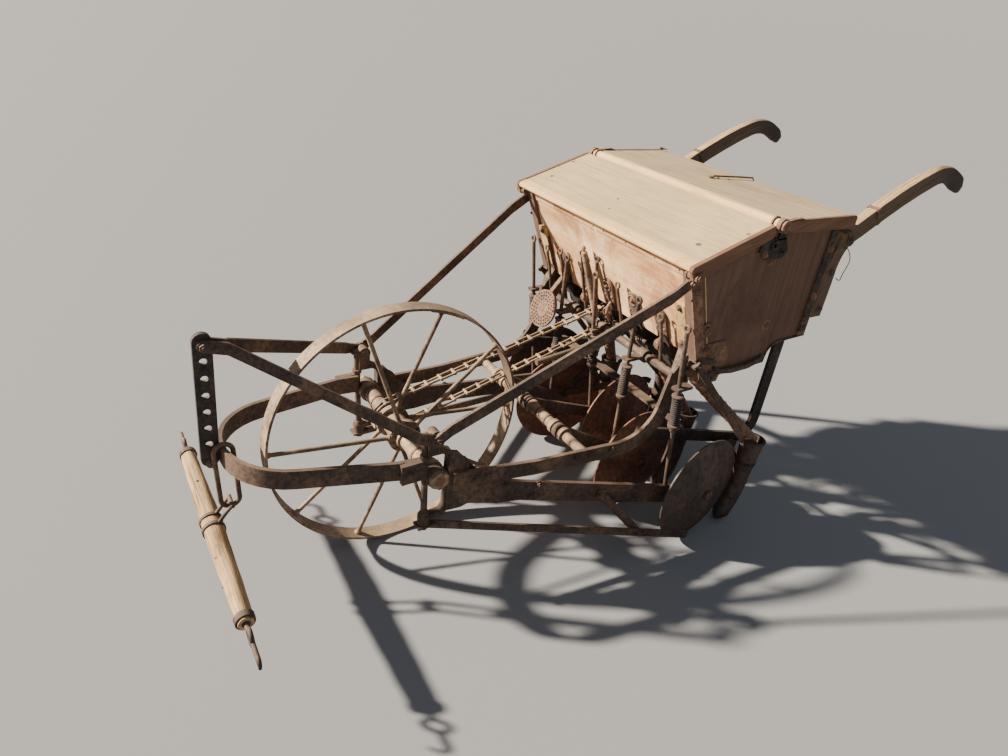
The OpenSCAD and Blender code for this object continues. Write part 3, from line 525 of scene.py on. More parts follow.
WORN = {
    "wheel": (IRON_WORN, 1.2), "yoke_left": (IRON, 2.6), "yoke_right": (IRON, 2.6),
    "front_loop": (IRON, 1.8), "hitch_bar": (IRON_GREASE_AND_SHADE, 2.0), "hitch_strap_left": (IRON, 1.4),
    "hitch_strap_right": (IRON, 1.4), "side_bar_left": (IRON, 1.8), "side_bar_right": (IRON, 1.8),
    "rear_stay_left": (IRON_GREASE_AND_SHADE, 1.8), "rear_stay_right": (IRON_GREASE_AND_SHADE, 1.8), "long_brace_left": (IRON, 1.5),
    "long_brace_right": (IRON, 1.5), "flat_straps": (IRON, 1.2), "drag_rod": (IRON_PALE_SUNLIT, 1.5),
    "drag_bars": (IRON, 1.6), "boots": (SHEET, 0.8), "lift_shaft": (IRON, 1.2), "cross_bar": (IRON, 1.5),
    "disc_1": (SHEET, 0.8), "disc_2": (IRON_RED, 0.8), "disc_3": (IRON_RED, 0.8), "disc_4": (IRON_RED, 0.8),
    "disc_5": (SHEET, 0.8), "feed_cups": (IRON_GREASE_AND_SHADE, 1.5), "feed_shaft": (IRON, 0.8),
    "rate_plate": (IRON_WARM_SUNLIT, 0.4), "axle": (IRON_PALE_SUNLIT, 1.5), "box_front": (BOX, 1.5),
    "box_rear": (INSIDE, 1.5), "box_bottom": (INSIDE, 1.0), "box_divider": (INSIDE, 1.5),
    "box_end_left": (END, 2.2), "box_end_right": (END, 2.2), "box_irons_left": (IRON_WARM_SUNLIT, 0.9),
    "box_irons_right": (IRON_WARM_SUNLIT, 0.9),
}
for n, (look, width) in WORN.items():
    worn(n, look, width)
for n, look in (("drive_chain", IRON_PALE_SUNLIT), ("hitch_link", IRON)):
    NODES[n].data.materials.clear()
    NODES[n].data.materials.append(look)


# Lids, with a pale rounded strip along the front, cleats on the ends and a round rail between them

LID_U = Vector((239.5, 71)).normalized()
LID_N = Vector((-LID_U.y, LID_U.x))
LID_OUT = (0, LID_N.x, LID_N.y)
LID_A, LID_B = Vector((524, 797)), Vector((763.5, 868))
LID_LENGTH = (LID_B - LID_A).length
STRAP_X = 350


def lid_at(along, up):
    """(y, z) of a place on the front lid: along it backward, and up from its lower face"""
    return tuple(LID_A + LID_U * along + LID_N * up)


s = Shape()
s.prism([lid_at(27, 1), lid_at(LID_LENGTH, 0), lid_at(LID_LENGTH, 14), lid_at(27, 14)],
        -CLEAT_IN + 1, CLEAT_IN - 1)
s.piece("front_lid_board", LID, "front_lid", 1.2, replaces=("lid_front",))
s = Shape()
nose = [lid_at(7 + 7.5 * math.cos(a), 7 + 7.8 * math.sin(a)) for a in map(math.radians, range(110, 251, 20))]
s.prism([lid_at(26.2, 0), lid_at(26.2, 14.6), lid_at(14, 15)] + nose + [lid_at(10, 0)],
        -CLEAT_IN + 0.5, CLEAT_IN - 0.5)
s.piece("front_lid_strip", YELLOW, "front_lid", 0.8)
for side, end in zip(SIDES, ("left", "right")):
    s = Shape()
    s.prism([(528, 787), (529, 781), (534, 777.5), (541, 777), (547, 778.5), (760, 852), (763, 868),
             lid_at(LID_LENGTH, 15.5), lid_at(5, 15.6), lid_at(-1, 12), lid_at(-3, 6), (523, 797)],
            side * CLEAT_IN, side * LID_HALF)
    s.piece("front_lid_cleat_" + end, CLEAT, "front_lid", 3.2, 3)
s = Shape()
s.prism([(806, 874), (1060, 864), (1060.6, 877.6), (806, 887.4)], -CLEAT_IN + 1, CLEAT_IN - 1)
s.piece("rear_lid_board", LID_REAR, "rear_lid", 1.5, replaces=("lid_rear",))
for side, end in zip(SIDES, ("left", "right")):
    s = Shape()
    s.prism([(798, 866), (830, 858), (1056, 846), (1061, 849), (1061.5, 874), (1057, 879),
             (812, 889), (800, 888)], side * CLEAT_IN, side * LID_HALF)
    s.piece("rear_lid_cleat_" + end, CLEAT, "rear_lid", 3.0, 3)
s = Shape()
for side in SIDES:
    s.lathe((side * (CLEAT_IN + 0.3), *RAIL), (side, 0, 0),
            [(0, 13.2), (0, 16.6), (1, 17), (10.6, 17), (11.6, 16.4), (11.6, 13.2)], 32, hollow=True)
    s.band([(side * STRAP_X, y, z) for y, z in ((796, 888), (830, 890.5), (852, 889.6))], 11, 2.2, UP)
    s.dome((side * STRAP_X, 842, 891), (0, 0.03, 1), 3.6, 2.2)
s.piece("rear_lid_straps", IRON_WARM_SUNLIT, "rear_lid", 0.5)
s = Shape()
s.lathe((-352, *RAIL), (1, 0, 0), [(0, 11.6), (1.5, 12.4), (350, 12.5), (702, 12.4), (704, 11.6)], 36)
s.piece("rail_wood", YELLOW, FIXED, replaces=("lid_rail",))
s = Shape()
for side in SIDES:
    s.lathe((side * 357.4, *RAIL), (side, 0, 0), [(0, 13.2), (1.2, 14.2), (5.5, 14.4), (6.6, 13)], 28)
    s.nut((side * 363.5, *RAIL), (side, 0, 0), 7, 5, 0)
    s.nut((side * 362.5, *PIVOT), (side, 0, 0), 8.5, 5, 1.3, stud=False)
s.piece("rail_caps", IRON_WARM_SUNLIT, FIXED, 0.4)

s = Shape()
for x, y, r in ((286, 602, 6.5), (334, 700, 5), (-300, 606, 5.5), (-332, 700, 5)):
    along = (y - LID_A.x) / LID_U.x
    y, z = lid_at(along, 14)
    s.lathe((x, y, z - 0.6), LID_OUT, [(0, r), (1.0, r), (1.5, r * 0.8), (1.2, r * 0.6), (1.0, 0.1)], 18)
for x in (-334, -250, -120, 12, 118, 206, 320):
    along = 12 + (x * 7 % 5)
    y, z = lid_at(along, 14.8)
    s.dome((x, y, z - 0.2), LID_OUT, 2.0, 0.9)
s.piece("front_lid_screws", IRON_WARM_SUNLIT, "front_lid")
s = Shape()
for x, along, r in ((-11, 62, 3.4), (-36, 112, 3.8), (-44, 78, 1.4), (54, 40, 1.6), (180, 160, 1.2)):
    y, z = lid_at(along, 14)
    s.lathe((x, y, z - 0.5), LID_OUT, [(0, r), (0.75, r * 0.95), (0.8, 0.05)], 9, x)
s.piece("front_lid_knots", IRON_GREASE_AND_SHADE, "front_lid")
s = Shape()
s.tube([(-14, 934, 886), (-13, 938, 888.5), (2, 985, 887.4), (8, 1012, 886.6), (18, 1040, 885.6),
        (20, 1058, 884), (20, 1063, 876), (20, 1063, 862)], 2.6, 10)
s.ring((-14, 930, 886.2), (0, 0.04, 1), 6, 2.2)
for x, y in ((-9, 952), (8, 972)):
    s.dome((x, y, 882.5), (0, 0.04, 1), 3.2, 2.4)
s.piece("rear_lid_hasp", IRON_WARM_SUNLIT, "rear_lid")
s = Shape()
for x, y in ((-334, 1030), (-324, 1040)):
    s.tube([(x, y, 886), (x, 1052, 885)], 1.6, 8)
s.tube([(-349, 1046, 885), (-352, 1058, 882), (-352, 1064, 872)], 2.4, 8)
s.piece("rear_lid_pins", IRON, "rear_lid")


# The box's boards: a strip under the front lid, nails, and on the end boards a seam and irons

s = Shape()
board = (FRONT_TOP - FRONT_LOW).length
strip = [on_board(board - down, out) for down, out in ((34, 0.2), (33, 3.2), (14, 3.4), (13, 0.2))]
s.prism([(p.y, p.z) for p in strip], -BOX_HALF + 23, BOX_HALF - 23)
s.piece("front_strip", BOX, FIXED, 0.7)
s = Shape()
for x in (-290, -205, -118, -30, 12, 100, 206, 288):
    s.dome(on_board(board - 23, 3.2, x), BOARD_OUT, 2.4, 1.0)
for x in (-298, 298):
    for along in (40, 110, 180, 225):
        s.dome(on_board(along, -0.1, x), BOARD_OUT, 2.2, 1.0)
s.piece("front_nails", IRON_GREASE_AND_SHADE, FIXED)

# the end boards' lower edge, (y, z) from front to rear
EDGE = [(632, 547), (664, 539), (700, 529), (722, 495), (806, 494), (890, 495), (894, 523), (906, 538),
        (930, 547), (984, 547), (1036, 547)]
for side, end in zip(SIDES, ("left", "right")):
    s = Shape()
    path, normals = [], []
    for k, (y, z) in enumerate(EDGE):
        y0, z0 = EDGE[max(k - 1, 0)]
        y1, z1 = EDGE[min(k + 1, len(EDGE) - 1)]
        t = Vector((y1 - y0, z1 - z0)).normalized()
        path.append((side * (BOX_HALF - 9), y + t.y * 1.8, z - t.x * 1.8))
        normals.append((0, t.y, -t.x))
    s.band(path, 28, 3.4, normals)
    s.tube([(side * 331, 700, 520), (side * 338, 716, 506), (side * 340, 760, 500), (side * 340, 820, 500),
            (side * 336, 868, 507), (side * 329, 884, 512)], 6.5, 12)
    s.tube([(side * 329, 640, 553), (side * 338, 656, 546), (side * 339, 684, 540), (side * 331, 704, 527)],
           7.5, 12)
    s.piece("end_edge_" + end, IRON, FIXED, 0.7)
    s = Shape()
    s.prism([(751, 842), (832, 842), (852, 806), (836, 790), (780, 790), (751, 812)],
            side * 331.5, side * 337)
    s.prism([(800, 836), (812, 862), (822, 862), (834, 836)], side * 331.5, side * 337)
    s.prism([(1004, 560), (1030, 560), (1038, 838), (1012, 838)], side * 331.8, side * 334)
    s.lathe((side * 336, 796, 825), (side, 0, 0),
            [(0, 13), (3.5, 13), (4.5, 11.5), (4.5, 5.5), (1, 5.3), (1, 0.1)], 24)
    s.lathe((side * 336, 828, 808), (side, 0, 0),
            [(0, 9), (3.0, 9), (3.6, 8), (3.6, 4), (1, 3.8), (1, 0.1)], 20)
    s.piece("end_bracket_" + end, IRON_GREASE_AND_SHADE, FIXED, 1.4)
    s = Shape()
    for x, y, z, r, h, washer, stud in (
            (336.5, 770, 806, 6, 5, 1.4, True), (331.8, 640, 632, 11, 9, 1.75, True),
            (327.8, 866, 603, 8, 6, 2.0, True), (327.6, 810, 778, 5.5, 4, 1.4, False),
            (338.8, 545, 767, 9.5, 8, 1.35, True), (331.8, 577, 741, 8.5, 7, 1.4, True)):
        s.nut((side * x, y, z), (side, 0, 0), r, h, washer, stud)
    for y, z in ((1020, 660), (1014, 590), (1027, 790), (655, 575), (702, 486)):
        s.nut((side * 333.6, y, z), (side, 0, 0), 6.5, 5, 1.5)
    s.dome((side * 331.8, 604, 682), (side, 0, 0), 6.5, 4)
    s.dome((side * 331.8, 566, 722), (side, 0, 0), 4.5, 3)
    s.piece("end_bolts_" + end, IRON_WARM_SUNLIT if side > 0 else IRON, FIXED, 0.5)
    s = Shape()
    s.prism([(590, 786), (592.4, 786), (672, 556), (669.6, 556)], side * 327.8, side * 328.7)
    s.piece("end_seam_" + end, YELLOW, FIXED)
    s = Shape()
    outline = [on_board(along, out) for along, out in
               ((34, 8.3), (129, 8.3), (130, 0.4), (158, 0.4), (158, 10.6), (34, 10.6))]
    s.prism([(p.y, p.z) for p in outline], side * 271, side * 305)
    s.piece("upright_plate_" + end, FADED, FIXED, 1.6)
    s = Shape()
    for along in (146, 42):
        s.nut(on_board(along, 10.4, side * 288), BOARD_OUT, 6.5, 5, 1.4)
    s.dome(on_board(96, 10.4, side * 290), BOARD_OUT, 2.2, 1.2)
    s.piece("upright_bolts_" + end, IRON, FIXED, 0.4)


# Handles: worn boards that round off into grips

# a handle's middle line, (y, z) from its foot to its grip
HANDLE = [(1058.9, 596), (1061.5, 680), (1064, 746), (1090, 804), (1160, 843), (1280, 899), (1390, 939),
          (1440, 949), (1490, 943), (1535, 923), (1562, 902)]
line = smooth_line([(0, y, z) for y, z in HANDLE], 7)
travel = [0.0]
for a, b in zip(line, line[1:]):
    travel.append(travel[-1] + (b - a).length)
first_ferrule = next(k for k, d in enumerate(travel) if d > 250)
ferrule = [(-17, -24), (-15, -26), (15, -26), (17, -24), (17, 20.6), (15, 22.4), (-15, 22.4), (-17, 20.6)]
for side, end in zip(SIDES, ("left", "right")):
    s = Shape()
    loops = []
    middle = Vector((side * HANDLE_X, 0, 0))
    for k, p in enumerate(line):
        t = (line[min(k + 1, len(line) - 1)] - line[max(k - 1, 0)]).normalized()
        n = Vector((0, -t.z, t.y))
        f = travel[k] / travel[-1]
        free = min(max((f - 0.24) / 0.12, 0), 1)        # 0 beside the box, 1 clear of it
        grip = min(max((f - 0.62) / 0.26, 0), 1)        # 1 in the grip
        high, low = 20.8 - 1.5 * grip, -20.8 - 4.0 * free - 1.5 * grip
        wide = 15.8 - 1.0 * grip
        shrink = 1 - max(f - 0.965, 0) * 10             # rounds off the end
        step = 2.4 * free * (1 - 0.5 * grip)
        ledge = low + (high - low) * (0.40 + 0.12 * grip)
        soft = 2.5 + 7.5 * grip
        half = [(wide - step - soft, high), (wide - step - soft * 0.3, high - soft * 0.3),
                (wide - step, high - soft), (wide - step, ledge + 1.6), (wide - step + 0.2, ledge + 0.9),
                (wide - 0.3, ledge), (wide, ledge - 1.2), (wide, low + soft),
                (wide - soft * 0.3, low + soft * 0.3), (wide - soft, low)]
        wobble = 0.25 * math.sin(f * 31 + side) + 0.2 * math.sin(f * 67)
        section = half + [(-x, h) for x, h in reversed(half)]
        loops.append([p + middle + Vector((x * shrink, 0, 0)) + n * ((h + wobble) * shrink)
                      for x, h in section])
    s.rings(loops)
    s.piece("handle_wood_" + end, GREY, FIXED, replaces=("handle_" + end,))
    s = Shape()
    for k, w in ((first_ferrule - 3, 13), (first_ferrule + 5, 11)):
        t = (line[k + 1] - line[k - 1]).normalized()
        n = Vector((0, -t.z, t.y))
        c = line[k] + middle
        s.rings([[c + t * d + Vector((x, 0, 0)) + n * h for x, h in ferrule] for d in (-w / 2, w / 2)])
    for y, z in ((1061, 620), (1062, 722), (1098, 806)):
        s.nut((side * 334.4, y, z), (side, 0, 0), 8, 6, 1.6)
        s.dome((side * 301.6, y, z), (-side, 0, 0), 8, 3)
    s.tube(smooth_line([(side * 336, 1078, 788), (side * 343, 1090, 782), (side * 345, 1108, 752),
                        (side * 341, 1104, 716), (side * 345, 1092, 700), (side * 340, 1080, 706)], 5),
           1.3, 6)
    s.piece("handle_irons_" + end, IRON, FIXED, 0.5)


# Seed tubes with ribs, springs on their rods, cup backs and levers

RIBS = (1.0, 1.0, 0, 0, -0.5, 0)                        # how far each of a rib's six points stands out
TUBE_LOOKS = (IRON_WARM_SUNLIT, IRON_RED, IRON, IRON_WARM_SUNLIT, IRON)
count = 84
for i, look in enumerate(TUBE_LOOKS):
    start = Vector((cup_x(i), 714, 478))
    way = (boot_high(i) - start).normalized()
    a = start + way * 32
    b = boot_high(i) - UP * 6
    s = Shape()
    points, radii = [], []
    for k in range(count + 1):
        f = k / count
        points.append(a + (b - a) * f + Vector((0, 0, -5 * math.sin(math.pi * f))))
        radii.append(20.2 - 5.6 * f + RIBS[k % 6])
    s.tube(points, radii, 20)
    s.lathe(a - way * 4, way, [(0, 22.2), (0.5, 23), (9, 23), (9.6, 22)], 28)
    s.piece("ribbed_tube_%d" % (i + 1), look, FIXED, replaces=("seed_tubes",) if i == 0 else ())

s = Shape()
for i in range(5):
    foot, head = rod_at(i, rod_foot(i).z + 24), rod_at(i, ROD_HEAD_Z)
    way = (head - foot).normalized()
    s.tube([foot, rod_at(i, 500), head + way * 2], 5.6, 14)
    s.ring(head + way * 10, (0, 1, 0.05), 8.2, 3.7, 10, 26)
    s.lathe(rod_at(i, 360), way, [(0, 9), (1, 15.6), (5, 16), (9, 15.6), (10, 10)], 24)
    s.lathe(rod_at(i, 452), way, [(0, 10), (1, 15), (5, 15.4), (7, 12), (7.5, 7)], 24)
    s.lathe(rod_at(i, 346), way, [(0, 7), (1, 9.5), (9, 9.5), (10, 7)], 6)
s.piece("spring_rods", IRON, FIXED, 0.4, replaces=("pressure_rods",))
s = Shape()
for i in range(5):
    s.coil(rod_at(i, 372), rod_at(i, 451), 11.3, 2.4, 12.5)
s.piece("spring_coils", IRON_GREASE_AND_SHADE, FIXED)

# the round-topped outline of a cup's back, (across, along the board)
arch = [(20 * math.cos(a), 80 + 20 * math.sin(a)) for a in map(math.radians, range(165, 14, -15))]
arch = [(-20, 30), (-20, 80)] + arch + [(20, 80), (20, 30)]
s = Shape()
for i in range(5):
    s.rings([[on_board(along, out, cup_x(i) + w) for w, along in arch] for out in (0.5, 8.5)])
s.piece("cup_backs", IRON, FIXED, 1.4)
s = Shape()
for i in range(5):
    x = cup_x(i)
    s.nut(on_board(80, 8.4, x), BOARD_OUT, 6.5, 5, 1.6)
    s.ring(on_board(80, 9.4, x), BOARD_OUT, 14.5, 1.8, 8, 28)
    for w in (-13, 13):
        s.dome(on_board(46, 8.4, x + w), BOARD_OUT, 4.2, 2.6)
    s.tube([on_board(30, 9, x + 8), on_board(22, 24, x + 10), on_board(6, 32, x + 12),
            on_board(-22, 26, x + 12)], 4.2, 10)
    s.lathe(on_board(-6, 12, x - 4), BOARD_OUT, [(0, 15), (8, 15), (10, 12), (14, 11), (15, 5)], 24)
    s.lathe((x - 28, 690, 500), (1, 0, 0), [(0, 16), (4, 17), (8, 17)], 24)
s.piece("cup_fittings", IRON_WARM_SUNLIT, FIXED, 0.5)
s = Shape()
s.tube([(-42, 622, 505), (-50, 606, 560), (-66, 566, 694)], [9.5, 9.3, 8.6], 16)
s.lathe((-66, 566, 694), (-0.115, -0.29, 0.95),
        [(0, 8.4), (3, 5), (7, 4.6), (10, 6.8), (15, 6.4), (19, 3.2), (20, 0.4)], 16)
s.piece("depth_pole", IRON_PALE_SUNLIT, FIXED)
s = Shape()
for x, y, z, lean in ((-98, 586, 668, 10), (-30, 584, 676, -14), (66, 584, 640, 8), (232, 590, 622, -6),
                      (-196, 588, 640, 8), (-262, 588, 626, -8)):
    s.tube([(x + lean, 624, 500), (x + lean * 0.4, 606, 572), (x, y, z)], 4.4, 10)
    s.ring((x, y - 1, z + 9), (0, 1, 0), 7.5, 3.0, 8, 22)
s.tube([(-150, 640, 512), (150, 640, 512)], 5.5, 12)
for x in (-128, -64, 0, 64, 128):
    s.nut((x, 633, 512), (0, -1, 0.3), 7, 7, 1.4)
s.piece("feed_levers", IRON, FIXED, 0.4)


# Bolts, nuts and rivets on the frame

BAR_OUT = 23                                            # from a yoke's middle to the outside of a side bar
BAR_SIDE = Vector((math.cos(SPLAY), -math.sin(SPLAY), 0))
OUTER_SIDE = Vector((math.cos(OUTER_TURN), -math.sin(OUTER_TURN), 0))
STRAP_FRONT, STRAP_REAR = Vector((210, -12, 189)), Vector((413, 667, 46))
STRAP_RUN = (STRAP_REAR - STRAP_FRONT).normalized()
STRAP_SIDE = Vector((STRAP_RUN.y, -STRAP_RUN.x, 0)).normalized()


def side_face(y):
    """how far out the outside of a side bar lies at y"""
    return YOKE_X + y * math.tan(SPLAY) + BAR_OUT / math.cos(SPLAY)


s = Shape()
for side in SIDES:
    for y, z in ((358, 307), (399, 303), (461, 309), (92, 313), (120, 311)):
        s.nut(flip((side_face(y), y, z), side), flip(BAR_SIDE, side), 7.5, 6, 1.45)
    for y, z in ((560, 352), (600, 404), (636, 478)):
        s.dome(flip((side_face(y), y, z), side), flip(BAR_SIDE, side), 7, 4, 9.5)
    s.dome((side * YOKE_X, UPRIGHT_Y, BRACE_Z), UP, 11, 12, 15)
    s.lathe((side * (YOKE_X + 13), BRACE_Y, BRACE_Z), (side, 0, 0), [(0, 19), (3.2, 19), (3.6, 18)], 28)
    s.nut((side * (YOKE_X + 26.2), BRACE_Y, BRACE_Z), (side, 0, 0), 10.5, 9, 1.45)
    s.dome((side * (YOKE_X - 13), BRACE_Y, BRACE_Z), (-side, 0, 0), 12, 7)
    s.lathe((side * YOKE_X, UPRIGHT_Y, 222), UP, [(0, 13.5), (5, 12), (9, 9.5)], 24)
    s.lathe((side * YOKE_X, UPRIGHT_Y, 378), UP, [(0, 9.5), (6, 12), (14, 12.5)], 24)
    s.nut((side * (YOKE_X + 7), -67, 354), (side, 0, 0), 8.5, 6, 1.35)
    s.dome((side * (YOKE_X + 7), -40, 356), (side, 0, 0), 7, 4)
    s.nut((side * 12.2, -416.3, 644), (side, 0, 0), 9.5, 8, 1.3)
    s.nut((side * 6.2, -434.6, 362), (side, 0, 0), 8, 7, 1.5)
    for at, z, r, out in ((388, 181, 9, 11.6), (188, 214, 7.5, 5.2), (206, 246, 7.5, 5.2),
                          (120, 262, 7.5, 5.2), (60, 288, 8, 5.2)):
        p = outer_at(at) + OUTER_SIDE * out
        s.nut(flip((p.x, p.y, z), side), flip(OUTER_SIDE, side), r, 7, 1.4)
    for at, r in ((250, 5), (330, 5), (470, 6)):
        p = drag_at(0, OUTER_FROM.y + at * math.cos(OUTER_TURN)) + OUTER_SIDE * 5
        s.dome(flip((p.x, p.y, p.z + 6), side), flip(OUTER_SIDE, side), r, 3)
    joint = STRAP_FRONT + (STRAP_REAR - STRAP_FRONT) * 0.79
    s.nut(flip(joint + STRAP_SIDE * 3.2, side), flip(STRAP_SIDE, side), 7, 6, 1.4)
    s.dome(flip(STRAP_FRONT + STRAP_RUN * 14 + STRAP_SIDE * 3.2, side), flip(STRAP_SIDE, side), 7, 4)
    s.dome(flip(STRAP_REAR - STRAP_RUN * 12 + STRAP_SIDE * 3.2, side), flip(STRAP_SIDE, side), 6, 3.5)
    s.nut((side * (BOX_HALF + 15.4), 632, 535), (side, 0, 0), 7, 6, 1.5)
s.piece("frame_bolts", IRON, FIXED, 0.5)

s = Shape()
for side in SIDES:
    for x in (50, 92):
        s.lathe((side * x, ROD_Y, ROD_Z), (side, 0, 0), [(0, 15.4), (1, 17), (6, 17), (7, 15.4)], 28)
    for x, profile in ((120, [(0, 21.4), (1, 23), (7, 23), (8, 21.4)]),
                       (168, [(0, 21.4), (1, 24), (9, 24), (10, 21.4)])):
        s.lathe((side * x, 0, AXLE_Z), (side, 0, 0), profile, 32)
    s.lathe((side * 236, 0, AXLE_Z), (side, 0, 0), [(0, 12), (2, 12), (3, 6), (3.4, 0.2)], 20)
s.piece("sleeve_bands", IRON_RED, FIXED, 0.4)


# Wheel: nuts at the rim, bolts in the hub flanges and a patch on the rim; discs: caps and rivets

def on_wheel(r, a, x=0.0):
    """a place on the wheel, at radius r and angle a"""
    return Vector((x, r * math.cos(a), AXLE_Z + r * math.sin(a)))


s = Shape()
for k in range(10):
    a = math.radians(33.5 + k * 36)
    rim = on_wheel(WHEEL_R - 6, a)
    start = on_wheel(30, a, 36 if k % 2 == 0 else -36)
    way = (start - rim).normalized()
    s.lathe(rim, way, [(0, 10), (3, 9.5), (6, 7.4), (10, 6.4)], 16)
    s.lathe(start + way * 4, -way, [(0, 9), (12, 8.4), (20, 6.2)], 16)
for side in SIDES:
    for k in range(5):
        s.nut(on_wheel(36, math.radians(15.5 + k * 72), side * 43.2), (side, 0, 0), 4.5, 3.4, 0, stud=False)
patch = [math.radians(60 + 1.5 * k) for k in range(12)]
s.band([on_wheel(WHEEL_R - 7.5, a) for a in patch], RIM_W - 4, 3,
       [(0, math.cos(a), math.sin(a)) for a in patch])
for w in (-11, 11):
    for a in map(math.radians, (63, 73.5)):
        s.dome(on_wheel(WHEEL_R - 9, a, w), (0, -math.cos(a), -math.sin(a)), 4, 2.4)
s.piece("wheel_fittings", IRON_WORN, "wheel", 0.5)

RIVET_R = 46
for i in range(5):
    s = Shape()
    c, n = disc_place(i), disc_axis(i)
    side = n.cross(UP)
    s.lathe(c + n * 33.5, n, [(0, 14.4), (1.5, 14.4), (2.6, 12), (2.9, 8.4), (1.6, 7.6), (1.6, 0.1)], 24)
    for k in range(4):
        a = math.radians(20 + 90 * k)
        lift = DISC_DISH * (1 - (RIVET_R / DISC_R) ** 2)
        away = UP * math.cos(a) + side * math.sin(a)
        s.dome(c + away * RIVET_R + n * (lift - 0.6), n + away * 0.1, 6, 3.2)
        s.dome(c + away * 19 + n * -13.8, -n, 4, 2.4)
    s.piece("disc_fittings_%d" % (i + 1), IRON, "disc_body_%d" % (i + 1), 0.4)

s = Shape()
for i in range(5):
    knee, high = boot_knee(i), boot_high(i)
    way = (high - knee).normalized()
    s.lathe(high - way * 5, way, [(0, 33.6), (1, 35.2), (4.4, 35.6), (6, 34.4), (6, 29.4), (1, 29.2)], 36,
            hollow=True)
    s.lathe(knee + way * 26, way, [(0, 26.8), (0.5, 28.6), (11, 29.6), (11.6, 27.6), (11.6, 25), (0, 24.4)],
            32, hollow=True)
    n, u = disc_axis(i), back_of(i)
    s.nut(knee + way * 32 + u * 29, u, 5.5, 5, 1.4)
    s.nut(knee + way * 34 - n * 29.2, -n, 5.5, 5, 1.4)
    e = spindle_end(i)
    scraper = smooth_line([e + UP * 24 + u * 6, e + UP * 62 + u * 24, e + UP * 92 + u * 70 + n * 4,
                           e + UP * 96 + u * 124 + n * 10, e + UP * 84 + u * 152 + n * 16], 4)
    s.band(scraper, 18, 4, [n + Vector((0, 0, 0.15 * k / len(scraper))) for k in range(len(scraper))])
    s.nut(e - n * 4, -n, 9, 8, 1.5)
s.piece("boot_fittings", IRON_GREASE_AND_SHADE, FIXED, 0.6)
s = Shape()
for i in range(5):
    c, n, u = disc_place(i), disc_axis(i), back_of(i)
    path = [c + n * BOOT_OUT + u * BOOT_R * math.cos(q) - UP * BOOT_R * math.sin(q)
            for q in (math.radians(43 + 1.1 * k) for k in range(10))]
    s.tube(path, [24.6, 24.4, 23.6, 22, 20, 17.6, 14.8, 11.6, 8, 3], 24)
s.piece("boot_tips", SHEET, FIXED)


# Singletree: a worn round bar of wood with iron bands, rings and hooks

TREE_X, TREE_Y, TREE_Z, TREE_HALF = 16, -455, 200, 305
PIN_Y, PIN_Z, PIN_HALF, STAPLE_X = -409.7, 255.3, 21, 16
HOOK_R = 11
s = Shape()
loops = []
count = 60
for k in range(count + 1):
    f = -1 + 2 * k / count
    base = 22.4 - 5.4 * abs(f) ** 1.3
    if abs(f) > 0.965:
        base *= 0.93
    loop = []
    for a in circle(28):
        r = (base + 0.55 * math.sin(3 * a + f * 2.1) + 0.35 * math.sin(5 * a - f * 7)
             + 0.3 * math.sin(f * 23 + a))
        if 0.6 < a < 1.1:                               # a flat where wood has split off, and one more below
            r -= 0.9 * max(0, 1 - abs(f - 0.3) / 0.5)
        if 3.9 < a < 4.3:
            r -= 1.1 * max(0, 1 - abs(f + 0.4) / 0.4)
        loop.append((TREE_X + f * TREE_HALF, TREE_Y + r * math.cos(a), TREE_Z + r * math.sin(a)))
    loops.append(loop)
s.rings(loops)
s.piece("tree_wood", TREE, "tree", 1.2, replaces=("singletree",))
s = Shape()
for side in SIDES:
    x = TREE_X + side * STAPLE_X
    s.lathe((x - 5, TREE_Y, TREE_Z), (1, 0, 0),
            [(0, 22), (0, 24.8), (1, 25.6), (9, 25.6), (10, 24.8), (10, 22)], 32, hollow=True)
    s.tube([(x, TREE_Y + 12, TREE_Z + 18), (x, TREE_Y + 30, TREE_Z + 40), (x, PIN_Y + 1.5, PIN_Z + 1.5)],
           4.5, 12)
    s.dome((x, TREE_Y - 23, TREE_Z + 6), (0, -1, 0.25), 5, 3)
    end = TREE_X + side * TREE_HALF
    s.lathe((end - side * 20, TREE_Y, TREE_Z), (side, 0, 0),
            [(0, 17), (0, 20.2), (1, 20.8), (15, 20.2), (16, 19.4), (16, 16)], 32, hollow=True)
    s.lathe((end - side * 2, TREE_Y, TREE_Z), (side, 0, 0), [(0, 9), (3, 9), (4, 5.2), (23, 5)], 16)
    s.ring((end + side * 34, TREE_Y, TREE_Z), (0, 1, 0), 15, 5, 12, 36)
    hook = [(end + side * out, TREE_Y, TREE_Z) for out in (46, 62, 88)]
    hook += [(end + side * (88 + HOOK_R * math.sin(a)), TREE_Y, TREE_Z - HOOK_R + HOOK_R * math.cos(a))
             for a in map(math.radians, range(20, 190, 17))]
    s.tube(hook, [5, 5, 5] + [5 - 0.28 * k for k in range(len(hook) - 3)], 12)
s.tube([(TREE_X - PIN_HALF, PIN_Y, PIN_Z), (TREE_X + PIN_HALF, PIN_Y, PIN_Z)], 5.1, 14)
for x, a in ((-150, 1.7), (-96, 3.1), (118, 2.4), (190, 3.2)):
    r = 22 - 4 * abs(x) / TREE_HALF
    at = (TREE_X + x, TREE_Y + r * math.cos(a), TREE_Z + r * math.sin(a))
    s.dome(at, (0, math.cos(a), math.sin(a)), 3.4, 1.8)
s.piece("tree_irons", IRON, "tree", 0.4)


# Stage: a floor that is flat round the drill and rises gently far off, so that no horizon shows

